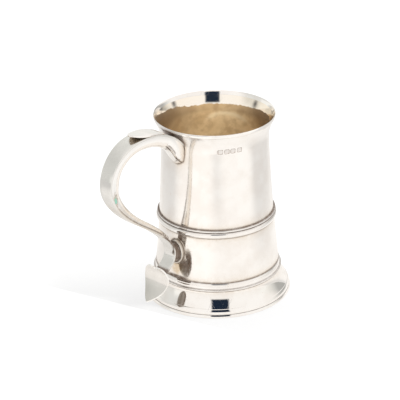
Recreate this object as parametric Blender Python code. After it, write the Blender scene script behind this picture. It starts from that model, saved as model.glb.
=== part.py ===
"""Open silver mug with a girdle, a spreading foot and a hollow scroll handle.

Metres, +Z up. The handle reaches along -X. Every piece hangs from one empty on the mug's axis,
and the empty is set so that the world origin is under the middle of the whole mug's box.
"""

from math import cos, pi, radians, sin, sqrt

import bmesh
import bpy
from mathutils import Vector

# Fits
SOLDER_GAP = 0.0003
SEGMENTS = 48

# Drum
MUG_HEIGHT = 0.125
WALL_THICKNESS = 0.001
DRUM_FOOT_RADIUS = 0.0409
THROAT_RADIUS = 0.0353
TAPER_POWER = 1.5
LIP_FLARE = 0.0038
LIP_FLARE_HEIGHT = 0.012
LIP_FLARE_POWER = 1.7

# Lip wire
LIP_WIRE_HEIGHT = 0.0025
LIP_WIRE_WIDTH = 0.0016
LIP_WIRE_PROUD = 0.0005
LIP_WIRE_FLAT_ANGLE = radians(60)

# Girdle
GIRDLE_BOTTOM = 0.0529
GIRDLE_BEAD_HEIGHT = 0.0038
GIRDLE_BEAD_PROUD = 0.0014
GIRDLE_REED_HEIGHT = 0.0017
GIRDLE_REED_PROUD = 0.0009
GIRDLE_ROOT = 0.0004

# Base and foot
BASE_THICKNESS = 0.001
FOOT_HEIGHT = 0.0216
FOOT_SPREAD = 0.0076
COLLAR_HEIGHT = 0.0056
COLLAR_STEP = 0.0006
COLLAR_FLARE = 0.0011
COLLAR_BEAD_HEIGHT = 0.0015
COLLAR_SEAT_WIDTH = 0.0022
SKIRT_THICKNESS = 0.0011
SKIRT_POWER = 1.5
FOOT_RIM_HEIGHT = 0.0057
FOOT_FILLET_HEIGHT = 0.0021
FOOT_RIM_WIDTH = 0.0034
FOOT_RIM_STEP = 0.0006
FOOT_RIM_FALL = 0.0019

# Handle path: reaches are measured out from the lip, drops down from the top of the mug
JOINT_DROP = 0.007
RISE_ANGLE = radians(43)
CROWN_REACH = 0.0304
CROWN_LIFT = 0.0056
GRIP_REACH = 0.0602
GRIP_DROP = 0.0205
SCROLL_REACH = 0.0334
SCROLL_RISE = 0.0284
SCROLL_ANGLE = radians(35)
TAIL_ANGLE = radians(55)

# How far each end of a stretch of the path holds its direction, as a share of the stretch
PULL_JOINT = 0.345
PULL_INTO_CROWN = 0.4
PULL_ROUND_GRIP = 0.552
PULL_FROM_GRIP = 0.32
PULL_INTO_SCROLL = 0.275
PULL_FROM_SCROLL = 0.457
PULL_INTO_TOUCH = 0.23
PULL_FROM_TOUCH = 0.385
PULL_INTO_HEART = 0.432

# Back strap
STRAP_THICKNESS = 0.0013
STRAP_CHAMFER = 0.0003
STRAP_WIDTH_TOP = 0.013
STRAP_WIDTH_GRIP = 0.0098
STRAP_WIDTH_TAIL = 0.0098

# Inner channel: rounded flanks that meet a narrow keel face
CHANNEL_SHELL = 0.0009
KEEL_SHARE = 0.42
KEEL_FLATNESS = 0.93
FLANK_SWEEP = radians(62)
FLANK_STEPS = 4
CHANNEL_INSET = 0.0003
CHANNEL_DEPTH_CROWN = 0.0077
CHANNEL_DEPTH_GRIP = 0.0092
CHANNEL_DEPTH_SCROLL = 0.0032
CHANNEL_DEPTH_END = 0.0018
CHANNEL_FALL_POWER = 1.6
CHANNEL_START = 0.42
CHANNEL_END = 0.58

# Upper socket
SOCKET_DROP = 0.0162
SOCKET_BURIED_SHARE = 0.12
SOCKET_BELLY_POWER = 1.15

# Thumb tongue
TONGUE_ROOT = 0.5
TONGUE_LEAVES = 0.86
TONGUE_LENGTH = 0.0143
TONGUE_LIFT_ANGLE = radians(14.5)
TONGUE_THICKNESS = 0.001
TONGUE_ROOT_THICKNESS = 0.0005
TONGUE_ROOT_NARROWING = 0.82
TONGUE_POINT_POWER = 0.65
TONGUE_TIP_SHARE = 0.06
TONGUE_CURL = 0.35

# Lower boss
BOSS_BELOW_GIRDLE = 0.0047
BOSS_FLANGE_RADIUS = 0.0082
BOSS_FLANGE_THICKNESS = 0.0013
BOSS_RADIUS = 0.0066
BOSS_LENGTH = 0.0032
BOSS_EDGE = 0.0005
BOSS_OVAL = 0.8
TOUCH_RISE = 0.0018

# Heart terminal: flat across and dished along its length
HEART_REACH = 0.0138
HEART_DROP = 0.0072
HEART_TILT_TOP = radians(-24)
HEART_TILT_TIP = radians(56)
HEART_CURL_RUN = 0.0195
HEART_LENGTH = 0.0244
HEART_HALF_WIDTH = 0.0103
HEART_SHOULDER = 0.0072
HEART_LOBE_RISE = 0.0018
HEART_LOBE_POWER = 0.6
HEART_TOP_POWER = 3
HEART_SIDE_POWER = 1.2
HEART_TIP_POWER = 0.65
HEART_THICKNESS = 0.0011
HEART_SEAT = 0.0085

# Colours: red, green, blue, roughness
SILVER = (0.86, 0.84, 0.8, 0.16)
SILVER_WARM = (0.84, 0.81, 0.75, 0.2)
SILVER_DULL = (0.76, 0.75, 0.71, 0.28)

# Heights and radii that follow from the sizes above
WALL_BOTTOM = FOOT_HEIGHT + SOLDER_GAP
WALL_TOP = MUG_HEIGHT - LIP_WIRE_HEIGHT - SOLDER_GAP
FLARE_START = WALL_TOP - LIP_FLARE_HEIGHT
LIP_RADIUS = THROAT_RADIUS + LIP_FLARE + LIP_WIRE_PROUD
FOOT_RADIUS = DRUM_FOOT_RADIUS + FOOT_SPREAD
BOSS_HEIGHT = GIRDLE_BOTTOM - BOSS_BELOW_GIRDLE - BOSS_FLANGE_RADIUS
TOUCH_HEIGHT = BOSS_HEIGHT + TOUCH_RISE
SHARP_ANGLE = radians(38)


def clear_scene():
    for old in list(bpy.data.objects):
        bpy.data.objects.remove(old, do_unlink=True)


def metal(name, look):
    red, green, blue, roughness = look
    material = bpy.data.materials.new(name)
    material.use_nodes = True
    shader = material.node_tree.nodes["Principled BSDF"]
    shader.inputs["Base Color"].default_value = (red, green, blue, 1.0)
    shader.inputs["Roughness"].default_value = roughness
    shader.inputs["Metallic"].default_value = 1.0
    return material


def add_piece(name, mesh_builder, look, axis):
    """Turn a bmesh into a smooth-shaded object under the axis empty."""
    bmesh.ops.recalc_face_normals(mesh_builder, faces=mesh_builder.faces)
    mesh = bpy.data.meshes.new(name)
    mesh_builder.to_mesh(mesh)
    mesh_builder.free()
    mesh.shade_smooth()
    mesh.set_sharp_from_angle(angle=SHARP_ANGLE)
    piece = bpy.data.objects.new(name, mesh)
    piece.data.materials.append(metal(name, look))
    piece.parent = axis
    bpy.context.scene.collection.objects.link(piece)
    return piece


def turned(outline, centre=(0.0, 0.0, 0.0), about="Z", steps=SEGMENTS):
    """Spin a closed outline of (radius, along) points about an axis; points on the axis close the ends."""
    builder = bmesh.new()
    along_x = about == "X"
    verts = []
    for radius, along in outline:
        place = Vector((-along, 0.0, radius)) if along_x else Vector((radius, 0.0, along))
        verts.append(builder.verts.new(place))
    edges = [builder.edges.new((a, b)) for a, b in zip(verts, verts[1:])]
    if outline[0][0] > 0:
        edges.append(builder.edges.new((verts[-1], verts[0])))
    turn_axis = (1.0, 0.0, 0.0) if along_x else (0.0, 0.0, 1.0)
    bmesh.ops.spin(
        builder,
        geom=verts + edges,
        cent=(0.0, 0.0, 0.0),
        axis=turn_axis,
        angle=2 * pi,
        steps=steps,
        use_merge=True,
    )
    bmesh.ops.remove_doubles(builder, verts=builder.verts, dist=1e-6)
    bmesh.ops.translate(builder, verts=builder.verts, vec=Vector(centre))
    return builder


def lofted(rings):
    """Skin a row of equal closed rings and cap both ends."""
    builder = bmesh.new()
    rows = [[builder.verts.new(point) for point in ring] for ring in rings]
    count = len(rings[0])
    for row, following in zip(rows, rows[1:]):
        for i in range(count):
            j = (i + 1) % count
            builder.faces.new((row[i], row[j], following[j], following[i]))
    builder.faces.new(reversed(rows[0]))
    builder.faces.new(rows[-1])
    return builder


def cut_away(piece, cutter):
    cut = piece.modifiers.new("fit to " + cutter.name, "BOOLEAN")
    cut.operation = "DIFFERENCE"
    cut.solver = "EXACT"
    cut.object = cutter


def as_cutter(piece):
    piece.hide_render = True
    piece.display_type = "WIRE"
    return piece


def arc_points(centre, radii, start, end, count):
    """Points on an ellipse arc, angles in radians from the first axis to the second."""
    points = []
    for i in range(count):
        angle = start + (end - start) * i / (count - 1)
        points.append((centre[0] + radii[0] * cos(angle), centre[1] + radii[1] * sin(angle)))
    return points


def blend(first, second, share):
    return first + (second - first) * share


def eased(share):
    return share * share * (3 - 2 * share)


# Drum profile


def wall_radius(height):
    """Outer radius of the drum: a hollow taper from foot to throat, then the lip's flare."""
    span = FLARE_START - WALL_BOTTOM
    share = min(max((FLARE_START - height) / span, 0.0), 1.0)
    radius = THROAT_RADIUS + (DRUM_FOOT_RADIUS - THROAT_RADIUS) * share**TAPER_POWER
    if height > FLARE_START:
        lift = (height - FLARE_START) / LIP_FLARE_HEIGHT
        radius += LIP_FLARE * lift**LIP_FLARE_POWER
    return radius


def drum_heights():
    straight_steps = 7
    flare_steps = 5
    heights = [blend(WALL_BOTTOM, FLARE_START, i / straight_steps) for i in range(straight_steps)]
    heights += [blend(FLARE_START, WALL_TOP, i / flare_steps) for i in range(flare_steps + 1)]
    return heights


def make_body_wall(axis):
    outer = [(wall_radius(z), z) for z in drum_heights()]
    inner = [(radius - WALL_THICKNESS, z) for radius, z in reversed(outer)]
    return add_piece("body_wall", turned(outer + inner), SILVER, axis)


def make_drum_cutter(axis):
    """The drum's outside, filled and one gap larger, to fit the handle's joints to it."""
    outline = [(0.0, WALL_BOTTOM)]
    outline += [(wall_radius(z) + SOLDER_GAP, z) for z in drum_heights()]
    outline.append((0.0, WALL_TOP))
    return as_cutter(add_piece("drum_cutter", turned(outline), SILVER, axis))


def make_lip_wire(axis):
    """Round wire with a flat underside that sits on the drum's edge."""
    half_width = LIP_WIRE_WIDTH / 2
    half_height = LIP_WIRE_HEIGHT / (1 + sin(LIP_WIRE_FLAT_ANGLE))
    middle = (LIP_RADIUS - half_width, MUG_HEIGHT - half_height)
    start = -LIP_WIRE_FLAT_ANGLE
    round_side = arc_points(middle, (half_width, half_height), start, pi - start, 9)
    return add_piece("lip_wire", turned(round_side), SILVER, axis)


def bead(bottom, height, proud):
    """A half-round moulding on the drum, from its lower to its upper edge."""
    points = []
    for rise, level in arc_points((0.0, bottom + height / 2), (1.0, height / 2), -pi / 2, pi / 2, 6):
        points.append((wall_radius(level) + SOLDER_GAP + blend(GIRDLE_ROOT, proud, rise), level))
    return points


def make_girdle_band(axis):
    reed_bottom = GIRDLE_BOTTOM + GIRDLE_BEAD_HEIGHT
    top = reed_bottom + GIRDLE_REED_HEIGHT
    outer = bead(GIRDLE_BOTTOM, GIRDLE_BEAD_HEIGHT, GIRDLE_BEAD_PROUD)
    outer += bead(reed_bottom, GIRDLE_REED_HEIGHT, GIRDLE_REED_PROUD)[1:]
    inner = [(wall_radius(z) + SOLDER_GAP, z) for z in (top, reed_bottom, GIRDLE_BOTTOM)]
    return add_piece("girdle_band", turned(outer + inner), SILVER_WARM, axis)


# Base and foot


def make_base_disc(axis):
    top = WALL_BOTTOM + BASE_THICKNESS
    radius = wall_radius(top) - WALL_THICKNESS - SOLDER_GAP
    outline = [(0.0, WALL_BOTTOM), (radius, WALL_BOTTOM), (radius, top), (0.0, top)]
    return add_piece("base_disc", turned(outline), SILVER_WARM, axis)


def collar_bottom_radius():
    return DRUM_FOOT_RADIUS + COLLAR_FLARE


def make_foot_collar(axis):
    top = FOOT_HEIGHT
    bottom = FOOT_HEIGHT - COLLAR_HEIGHT
    bead_top = bottom + COLLAR_BEAD_HEIGHT
    crest = DRUM_FOOT_RADIUS + COLLAR_STEP
    root = collar_bottom_radius()
    ridge = root - COLLAR_STEP / 3
    inner = DRUM_FOOT_RADIUS - WALL_THICKNESS - COLLAR_SEAT_WIDTH
    cove_height = top - bead_top
    outer = [(root, bottom), (root + COLLAR_STEP, blend(bottom, bead_top, 0.3))]
    outer += [(root + COLLAR_STEP, blend(bottom, bead_top, 0.7)), (ridge, bead_top)]
    outer += [(blend(crest, ridge, 0.25), bead_top + cove_height * 0.35)]
    outer += [(crest - COLLAR_STEP / 3, bead_top + cove_height * 0.7), (crest, top - COLLAR_STEP / 2)]
    outer += [(crest - COLLAR_STEP / 3, top)]
    outline = outer + [(inner, top), (inner, bottom)]
    return add_piece("foot_collar", turned(outline), SILVER_WARM, axis)


def make_foot_skirt(axis):
    top = FOOT_HEIGHT - COLLAR_HEIGHT - SOLDER_GAP
    bottom = FOOT_RIM_HEIGHT + SOLDER_GAP
    upper = collar_bottom_radius()
    lower = FOOT_RADIUS - FOOT_RIM_FALL
    steps = 6
    outer = []
    for i in range(steps + 1):
        share = i / steps
        outer.append((blend(upper, lower, share**SKIRT_POWER), blend(top, bottom, share)))
    inner = [(radius - SKIRT_THICKNESS, z) for radius, z in reversed(outer)]
    return add_piece("foot_skirt", turned(outer + inner), SILVER, axis)


def make_foot_rim(axis):
    """Ring with a rounded fillet on the ground, a groove above it, and a bead that slopes up to the skirt."""
    fillet = FOOT_FILLET_HEIGHT
    bead_height = FOOT_RIM_HEIGHT - fillet
    inner = FOOT_RADIUS - FOOT_RIM_WIDTH
    groove = FOOT_RADIUS - FOOT_RIM_STEP
    shoulder = FOOT_RADIUS - FOOT_RIM_STEP / 2
    top_radius = FOOT_RADIUS - FOOT_RIM_FALL
    outline = [(inner, 0.0), (shoulder, 0.0), (FOOT_RADIUS, FOOT_RIM_STEP / 2), (FOOT_RADIUS, fillet / 2)]
    outline += [(shoulder, fillet * 0.85), (groove, fillet), (shoulder, fillet + bead_height * 0.08)]
    outline += [(blend(shoulder, top_radius, 0.45), fillet + bead_height * 0.5)]
    outline += [(top_radius, FOOT_RIM_HEIGHT), (inner, FOOT_RIM_HEIGHT)]
    return add_piece("foot_rim", turned(outline), SILVER, axis)


# Handle path: the strap's outer face, as (out, up) points in the mug's middle plane


def boss_face():
    """Distance of the boss's flat face from the mug's axis."""
    return wall_radius(BOSS_HEIGHT) + SOLDER_GAP + BOSS_FLANGE_THICKNESS + BOSS_LENGTH


def heart_station(below):
    """Point of the heart's front in the middle plane at a run below its notch, and the way out there."""
    touch = boss_face() + SOLDER_GAP + STRAP_THICKNESS
    notch = Vector((touch + HEART_REACH, TOUCH_HEIGHT - HEART_DROP))
    bend = (HEART_TILT_TIP - HEART_TILT_TOP) / HEART_CURL_RUN
    curled = min(below, HEART_CURL_RUN)
    tilt = HEART_TILT_TOP + bend * curled
    rounding = Vector((cos(HEART_TILT_TOP) - cos(tilt), sin(HEART_TILT_TOP) - sin(tilt))) / bend
    down = Vector((sin(tilt), -cos(tilt)))
    out = Vector((cos(tilt), sin(tilt)))
    return notch + rounding + down * (below - curled), out


def path_segments():
    """Five Bezier stretches: root to crown, grip, scroll, touch on the boss, and heart."""
    joint_up = MUG_HEIGHT - JOINT_DROP
    joint = Vector((wall_radius(joint_up), joint_up))
    crown = Vector((LIP_RADIUS + CROWN_REACH, MUG_HEIGHT + CROWN_LIFT))
    grip = Vector((LIP_RADIUS + GRIP_REACH, MUG_HEIGHT - GRIP_DROP))
    scroll = Vector((LIP_RADIUS + SCROLL_REACH, TOUCH_HEIGHT + SCROLL_RISE))
    touch = Vector((boss_face() + SOLDER_GAP + STRAP_THICKNESS, TOUCH_HEIGHT))
    end, end_out = heart_station(HEART_SEAT)

    rise = Vector((cos(RISE_ANGLE), sin(RISE_ANGLE)))
    fall = Vector((-cos(SCROLL_ANGLE), -sin(SCROLL_ANGLE)))
    level = Vector((1.0, 0.0))
    plumb = Vector((0.0, -1.0))
    tail = Vector((cos(TAIL_ANGLE), -sin(TAIL_ANGLE)))

    run_up = (crown - joint).length
    run_over = grip - crown
    run_down = (scroll - grip).length
    run_in = (touch - scroll).length
    run_tail = (end - touch).length
    over_crown = crown + level * run_over.x * PULL_ROUND_GRIP
    over_grip = grip + plumb * run_over.y * PULL_ROUND_GRIP
    return [
        (joint, joint + rise * run_up * PULL_JOINT, crown - level * run_up * PULL_INTO_CROWN, crown),
        (crown, over_crown, over_grip, grip),
        (grip, grip + plumb * run_down * PULL_FROM_GRIP, scroll - fall * run_down * PULL_INTO_SCROLL, scroll),
        (scroll, scroll + fall * run_in * PULL_FROM_SCROLL, touch - plumb * run_in * PULL_INTO_TOUCH, touch),
        (touch, touch + plumb * run_tail * PULL_FROM_TOUCH, end - tail * run_tail * PULL_INTO_HEART, end),
    ]


def bezier_station(knots, share):
    """Point and unit direction of a cubic Bezier at a share of its run."""
    start, pull, push, end = knots
    rest = 1 - share
    point = start * rest**3 + pull * (3 * rest**2 * share) + push * (3 * rest * share**2) + end * share**3
    way = (pull - start) * rest**2 + (push - pull) * (2 * rest * share) + (end - push) * share**2
    return point, way.normalized()


def path_stations(first, last, per_segment):
    """Stations from one place to another along the path; a place is a stretch plus a share, as 1.5."""
    stations = []
    for index, knots in enumerate(path_segments()):
        low = max(first - index, 0.0)
        high = min(last - index, 1.0)
        if high <= low:
            continue
        count = max(round(per_segment * (high - low)), 2)
        for i in range(1 if stations else 0, count + 1):
            share = blend(low, high, i / count)
            point, along = bezier_station(knots, share)
            stations.append((index + share, point, along))
    return stations


def inward(along):
    """Unit normal of the path towards the finger loop side of the upper handle."""
    return Vector((along.y, -along.x))


def strap_width(place):
    if place <= 1:
        return STRAP_WIDTH_TOP
    if place <= 2:
        return blend(STRAP_WIDTH_TOP, STRAP_WIDTH_GRIP, eased(place - 1))
    if place <= 3:
        return blend(STRAP_WIDTH_GRIP, STRAP_WIDTH_TAIL, eased(place - 2))
    return STRAP_WIDTH_TAIL


def to_world(flat, across):
    return Vector((-flat.x, across, flat.y))


def strap_ring(top, under, width, chamfer):
    """Flat bar section between an outer and an inner point, with its four corners taken off."""
    half = width / 2
    depth = (under - top).normalized()
    shallow = top + depth * chamfer
    deep = under - depth * chamfer
    ring = [(top, half - chamfer), (shallow, half), (deep, half), (under, half - chamfer)]
    ring += [(under, chamfer - half), (deep, -half), (shallow, -half), (top, chamfer - half)]
    return [to_world(flat, across) for flat, across in ring]


def make_back_strap(axis, drum_cutter, heart_cutter):
    """Bar along the whole path, run on into drum and heart and then fitted to both."""
    stations = path_stations(0.0, 5.0, 9)
    first_place, first_point, first_along = stations[0]
    buried = first_point - first_along * (WALL_THICKNESS + 2 * STRAP_THICKNESS)
    stations.insert(0, (first_place, buried, first_along))
    rings = []
    for place, point, along in stations:
        under = point + inward(along) * STRAP_THICKNESS
        rings.append(strap_ring(point, under, strap_width(place), STRAP_CHAMFER))
    strap = add_piece("handle_back_strap", lofted(rings), SILVER_DULL, axis)
    cut_away(strap, drum_cutter)
    cut_away(strap, heart_cutter)
    return strap


# Hollow inner half of the handle


def channel_depth(place):
    if place <= 1:
        return CHANNEL_DEPTH_CROWN
    if place <= 2:
        return blend(CHANNEL_DEPTH_CROWN, CHANNEL_DEPTH_GRIP, eased(place - 1))
    if place <= 3:
        return blend(CHANNEL_DEPTH_SCROLL, CHANNEL_DEPTH_GRIP, (3 - place) ** CHANNEL_FALL_POWER)
    return blend(CHANNEL_DEPTH_SCROLL, CHANNEL_DEPTH_END, (place - 3) / CHANNEL_END)


def keeled_curve(top, way, half, depth):
    """U section from one edge to the other: a rounded flank, the keel face, the other flank."""
    flank = []
    for i in range(FLANK_STEPS + 1):
        angle = FLANK_SWEEP * i / FLANK_STEPS
        across = 1 - (1 - KEEL_SHARE) * (1 - cos(angle)) / (1 - cos(FLANK_SWEEP))
        flank.append((across, KEEL_FLATNESS * sin(angle) / sin(FLANK_SWEEP)))
    flank.append((KEEL_SHARE / 2, blend(KEEL_FLATNESS, 1.0, 0.75)))
    shape = flank + [(0.0, 1.0)] + [(-across, deep) for across, deep in reversed(flank)]
    return [(top + way * depth * deep, half * across) for across, deep in shape]


def make_inner_channel(axis):
    rings = []
    for place, point, along in path_stations(CHANNEL_START, 3 + CHANNEL_END, 8):
        way = inward(along)
        top = point + way * (STRAP_THICKNESS + SOLDER_GAP)
        half = strap_width(place) / 2 - CHANNEL_INSET
        depth = channel_depth(place)
        outer = keeled_curve(top, way, half, depth)
        inner = keeled_curve(top, way, half - CHANNEL_SHELL, depth - CHANNEL_SHELL)
        rings.append([to_world(flat, across) for flat, across in outer + inner[::-1]])
    return add_piece("handle_inner_channel", lofted(rings), SILVER_WARM, axis)


def make_upper_socket(axis, drum_cutter):
    """Solid root between strap and drum: deep at the drum, as deep as the channel at its end."""
    joint_up = MUG_HEIGHT - JOINT_DROP
    tip = Vector((wall_radius(joint_up - SOCKET_DROP), joint_up - SOCKET_DROP))
    joint, pull, push, crown = path_segments()[0]
    end_gap = 2 * SOLDER_GAP / (crown - joint).length
    stations = path_stations(0.0, CHANNEL_START - end_gap, 14)
    last_place, last_point, last_along = stations[-1]
    seat = STRAP_THICKNESS + SOLDER_GAP
    last_low = last_point + inward(last_along) * (seat + channel_depth(last_place))
    place, point, along = stations[0]
    stations.insert(0, (place, point - along * 2 * seat, along))
    tops = [point + inward(along) * seat for place, point, along in stations]
    buried_tip = tip + (tip - last_low) * SOCKET_BURIED_SHARE
    rings = []
    count = len(stations) - 1
    for i, (place, point, along) in enumerate(stations):
        share = i / count
        low = buried_tip.lerp(last_low, share**SOCKET_BELLY_POWER)
        way = low - tops[i]
        half = strap_width(place) / 2 - CHANNEL_INSET
        curve = keeled_curve(tops[i], way, half, 1.0)
        rings.append([to_world(flat, across) for flat, across in curve])
    socket = add_piece("upper_socket", lofted(rings), SILVER_WARM, axis)
    cut_away(socket, drum_cutter)
    return socket


def make_thumb_tongue(axis):
    """Leaf lying on the strap near its crown, then curling up off it to a rounded tip."""
    stations = path_stations(TONGUE_ROOT, TONGUE_LEAVES, 14)
    lying = [(point - inward(along) * SOLDER_GAP, along) for place, point, along in stations]
    leave, along = lying[-1]
    lift = Vector((cos(TONGUE_LIFT_ANGLE), sin(TONGUE_LIFT_ANGLE)))
    tip = leave + along.lerp(lift, 1 - TONGUE_CURL) * TONGUE_LENGTH
    pull = TONGUE_LENGTH * TONGUE_CURL
    knots = (leave, leave + along * pull, tip - lift * pull, tip)
    free_steps = 9
    rings = []
    for i, (point, direction) in enumerate(lying):
        share = i / (len(lying) - 1)
        thick = blend(TONGUE_ROOT_THICKNESS, TONGUE_THICKNESS, share)
        width = STRAP_WIDTH_TOP * blend(TONGUE_ROOT_NARROWING, 1.0, sqrt(share))
        top = point - inward(direction) * thick
        rings.append(strap_ring(top, point, width, thick / 4))
    for i in range(1, free_steps + 1):
        # Stations crowd towards the tip, where the outline turns fastest.
        share = sin(pi / 2 * i / free_steps)
        point, direction = bezier_station(knots, share)
        width = STRAP_WIDTH_TOP * max((1 - share * share) ** TONGUE_POINT_POWER, TONGUE_TIP_SHARE)
        top = point - inward(direction) * TONGUE_THICKNESS
        rings.append(strap_ring(top, point, width, TONGUE_THICKNESS / 4))
    return add_piece("thumb_tongue", lofted(rings), SILVER, axis)


# Lower joint and heart


def make_lower_boss(axis, drum_cutter):
    face = boss_face()
    flange = face - BOSS_LENGTH
    inside = flange - BOSS_FLANGE_THICKNESS - 2 * WALL_THICKNESS - SOLDER_GAP
    outline = [(0.0, face), (BOSS_RADIUS - BOSS_EDGE, face), (BOSS_RADIUS, face - BOSS_EDGE)]
    outline += [(BOSS_RADIUS, flange + BOSS_EDGE), (BOSS_RADIUS + BOSS_EDGE, flange)]
    outline += [(BOSS_FLANGE_RADIUS - BOSS_EDGE, flange), (BOSS_FLANGE_RADIUS, flange - BOSS_EDGE)]
    outline += [(BOSS_FLANGE_RADIUS, inside), (0.0, inside)]
    builder = turned(outline, centre=(0.0, 0.0, BOSS_HEIGHT), about="X", steps=24)
    bmesh.ops.scale(builder, verts=builder.verts, vec=(1.0, BOSS_OVAL, 1.0))
    boss = add_piece("lower_boss", builder, SILVER_DULL, axis)
    cut_away(boss, drum_cutter)
    return boss


def heart_edges(share):
    """Top and bottom edge of the heart, measured down from the notch, at a share of the half width."""
    lobe = HEART_LOBE_RISE * max(sin(pi * share), 0.0) ** HEART_LOBE_POWER
    top = HEART_SHOULDER * (1 - sqrt(max(1 - share**HEART_TOP_POWER, 0.0))) - lobe
    bottom = blend(HEART_SHOULDER, HEART_LENGTH, (1 - share**HEART_SIDE_POWER) ** HEART_TIP_POWER)
    return top, bottom


def heart_shell(front_depth, rear_depth):
    """Heart-shaped shell between two depths behind the front, dished along its length."""
    half_columns = 8
    rows = 10
    builder = bmesh.new()
    layers = []
    for depth in (front_depth, rear_depth):
        columns = []
        for i in range(-half_columns, half_columns + 1):
            share = sin(pi / 2 * i / half_columns)
            top, bottom = heart_edges(abs(share))
            column = []
            for j in range(rows + 1):
                point, out = heart_station(blend(top, bottom, j / rows))
                flat = point - out * depth
                column.append(builder.verts.new(to_world(flat, HEART_HALF_WIDTH * share)))
            columns.append(column)
        layers.append(columns)
    front, rear = layers
    last = 2 * half_columns
    for i in range(last):
        for j in range(rows):
            builder.faces.new((front[i][j], front[i + 1][j], front[i + 1][j + 1], front[i][j + 1]))
            builder.faces.new((rear[i][j], rear[i][j + 1], rear[i + 1][j + 1], rear[i + 1][j]))
        for j in (0, rows):
            builder.faces.new((front[i][j], rear[i][j], rear[i + 1][j], front[i + 1][j]))
    for i in (0, last):
        for j in range(rows):
            builder.faces.new((front[i][j], front[i][j + 1], rear[i][j + 1], rear[i][j]))
    bmesh.ops.remove_doubles(builder, verts=builder.verts, dist=1e-6)
    return builder


def make_heart_terminal(axis):
    """Plate with its hollow side outwards."""
    return add_piece("heart_terminal", heart_shell(0.0, HEART_THICKNESS), SILVER_DULL, axis)


def make_heart_cutter(axis):
    shell = heart_shell(-HEART_THICKNESS, HEART_THICKNESS + SOLDER_GAP)
    return as_cutter(add_piece("heart_cutter", shell, SILVER_DULL, axis))


def main():
    clear_scene()
    axis = bpy.data.objects.new("mug_axis", None)
    axis.location = ((LIP_RADIUS + GRIP_REACH - FOOT_RADIUS) / 2, 0.0, 0.0)
    bpy.context.scene.collection.objects.link(axis)
    drum_cutter = make_drum_cutter(axis)
    heart_cutter = make_heart_cutter(axis)
    make_body_wall(axis)
    make_lip_wire(axis)
    make_girdle_band(axis)
    make_base_disc(axis)
    make_foot_collar(axis)
    make_foot_skirt(axis)
    make_foot_rim(axis)
    make_back_strap(axis, drum_cutter, heart_cutter)
    make_inner_channel(axis)
    make_upper_socket(axis, drum_cutter)
    make_thumb_tongue(axis)
    make_lower_boss(axis, drum_cutter)
    make_heart_terminal(axis)


main()
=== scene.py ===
"""Looks of an open silver mug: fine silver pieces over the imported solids, on a white studio table.

Metres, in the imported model's frame. The pieces are drawn round the mug's own axis and then set in place.
"""

from collections import namedtuple
from math import atan2, cos, exp, hypot, pi, radians, sin, sqrt

import bmesh
import bpy
from mathutils import Matrix, Vector, noise
from mathutils.bvhtree import BVHTree


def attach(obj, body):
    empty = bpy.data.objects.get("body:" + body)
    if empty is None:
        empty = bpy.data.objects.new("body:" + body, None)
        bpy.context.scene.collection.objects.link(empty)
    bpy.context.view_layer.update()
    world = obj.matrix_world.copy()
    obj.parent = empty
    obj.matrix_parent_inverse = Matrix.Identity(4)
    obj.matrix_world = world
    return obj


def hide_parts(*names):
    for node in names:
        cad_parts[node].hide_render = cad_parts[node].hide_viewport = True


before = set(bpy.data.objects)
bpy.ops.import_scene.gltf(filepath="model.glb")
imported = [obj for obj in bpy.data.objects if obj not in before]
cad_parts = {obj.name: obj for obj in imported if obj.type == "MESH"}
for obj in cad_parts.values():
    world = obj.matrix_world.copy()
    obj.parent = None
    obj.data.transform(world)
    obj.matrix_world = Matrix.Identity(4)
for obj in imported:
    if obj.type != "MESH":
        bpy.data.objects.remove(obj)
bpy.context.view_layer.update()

# Drum
SOLDER_GAP = 0.0003
MUG_HEIGHT = 0.125
WALL_THICKNESS = 0.001
DRUM_FOOT_RADIUS = 0.0409
THROAT_RADIUS = 0.0353
TAPER_POWER = 1.5
LIP_FLARE = 0.0038
LIP_FLARE_HEIGHT = 0.012
LIP_FLARE_POWER = 1.7
LIP_WIRE_HEIGHT = 0.0025
LIP_WIRE_PROUD = 0.0005

# Girdle
GIRDLE_BOTTOM = 0.0529
GIRDLE_BEAD_HEIGHT = 0.0038
GIRDLE_BEAD_PROUD = 0.0014
GIRDLE_REED_HEIGHT = 0.0017
GIRDLE_REED_PROUD = 0.0009
GIRDLE_ROOT = 0.0004

# Base and foot
BASE_THICKNESS = 0.001
FOOT_HEIGHT = 0.0216
FOOT_SPREAD = 0.0076
COLLAR_HEIGHT = 0.0056
COLLAR_STEP = 0.0006
COLLAR_FLARE = 0.0011
COLLAR_BEAD_HEIGHT = 0.0015
COLLAR_SEAT_WIDTH = 0.0022
SKIRT_THICKNESS = 0.0011
SKIRT_POWER = 1.5
FOOT_RIM_HEIGHT = 0.0057
FOOT_FILLET_HEIGHT = 0.0021
FOOT_RIM_WIDTH = 0.0034
FOOT_RIM_STEP = 0.0006
FOOT_RIM_FALL = 0.0019

# Handle path: reaches are measured out from the lip, drops down from the top of the mug
JOINT_DROP = 0.007
RISE_ANGLE = radians(43)
CROWN_REACH = 0.0304
CROWN_LIFT = 0.0056
GRIP_REACH = 0.0602
GRIP_DROP = 0.0205
SCROLL_REACH = 0.0334
SCROLL_RISE = 0.0284
SCROLL_ANGLE = radians(35)
TAIL_ANGLE = radians(55)
PULL_JOINT = 0.345
PULL_INTO_CROWN = 0.4
PULL_ROUND_GRIP = 0.552
PULL_FROM_GRIP = 0.32
PULL_INTO_SCROLL = 0.275
PULL_FROM_SCROLL = 0.457
PULL_INTO_TOUCH = 0.23
PULL_FROM_TOUCH = 0.385
PULL_INTO_HEART = 0.432

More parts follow.
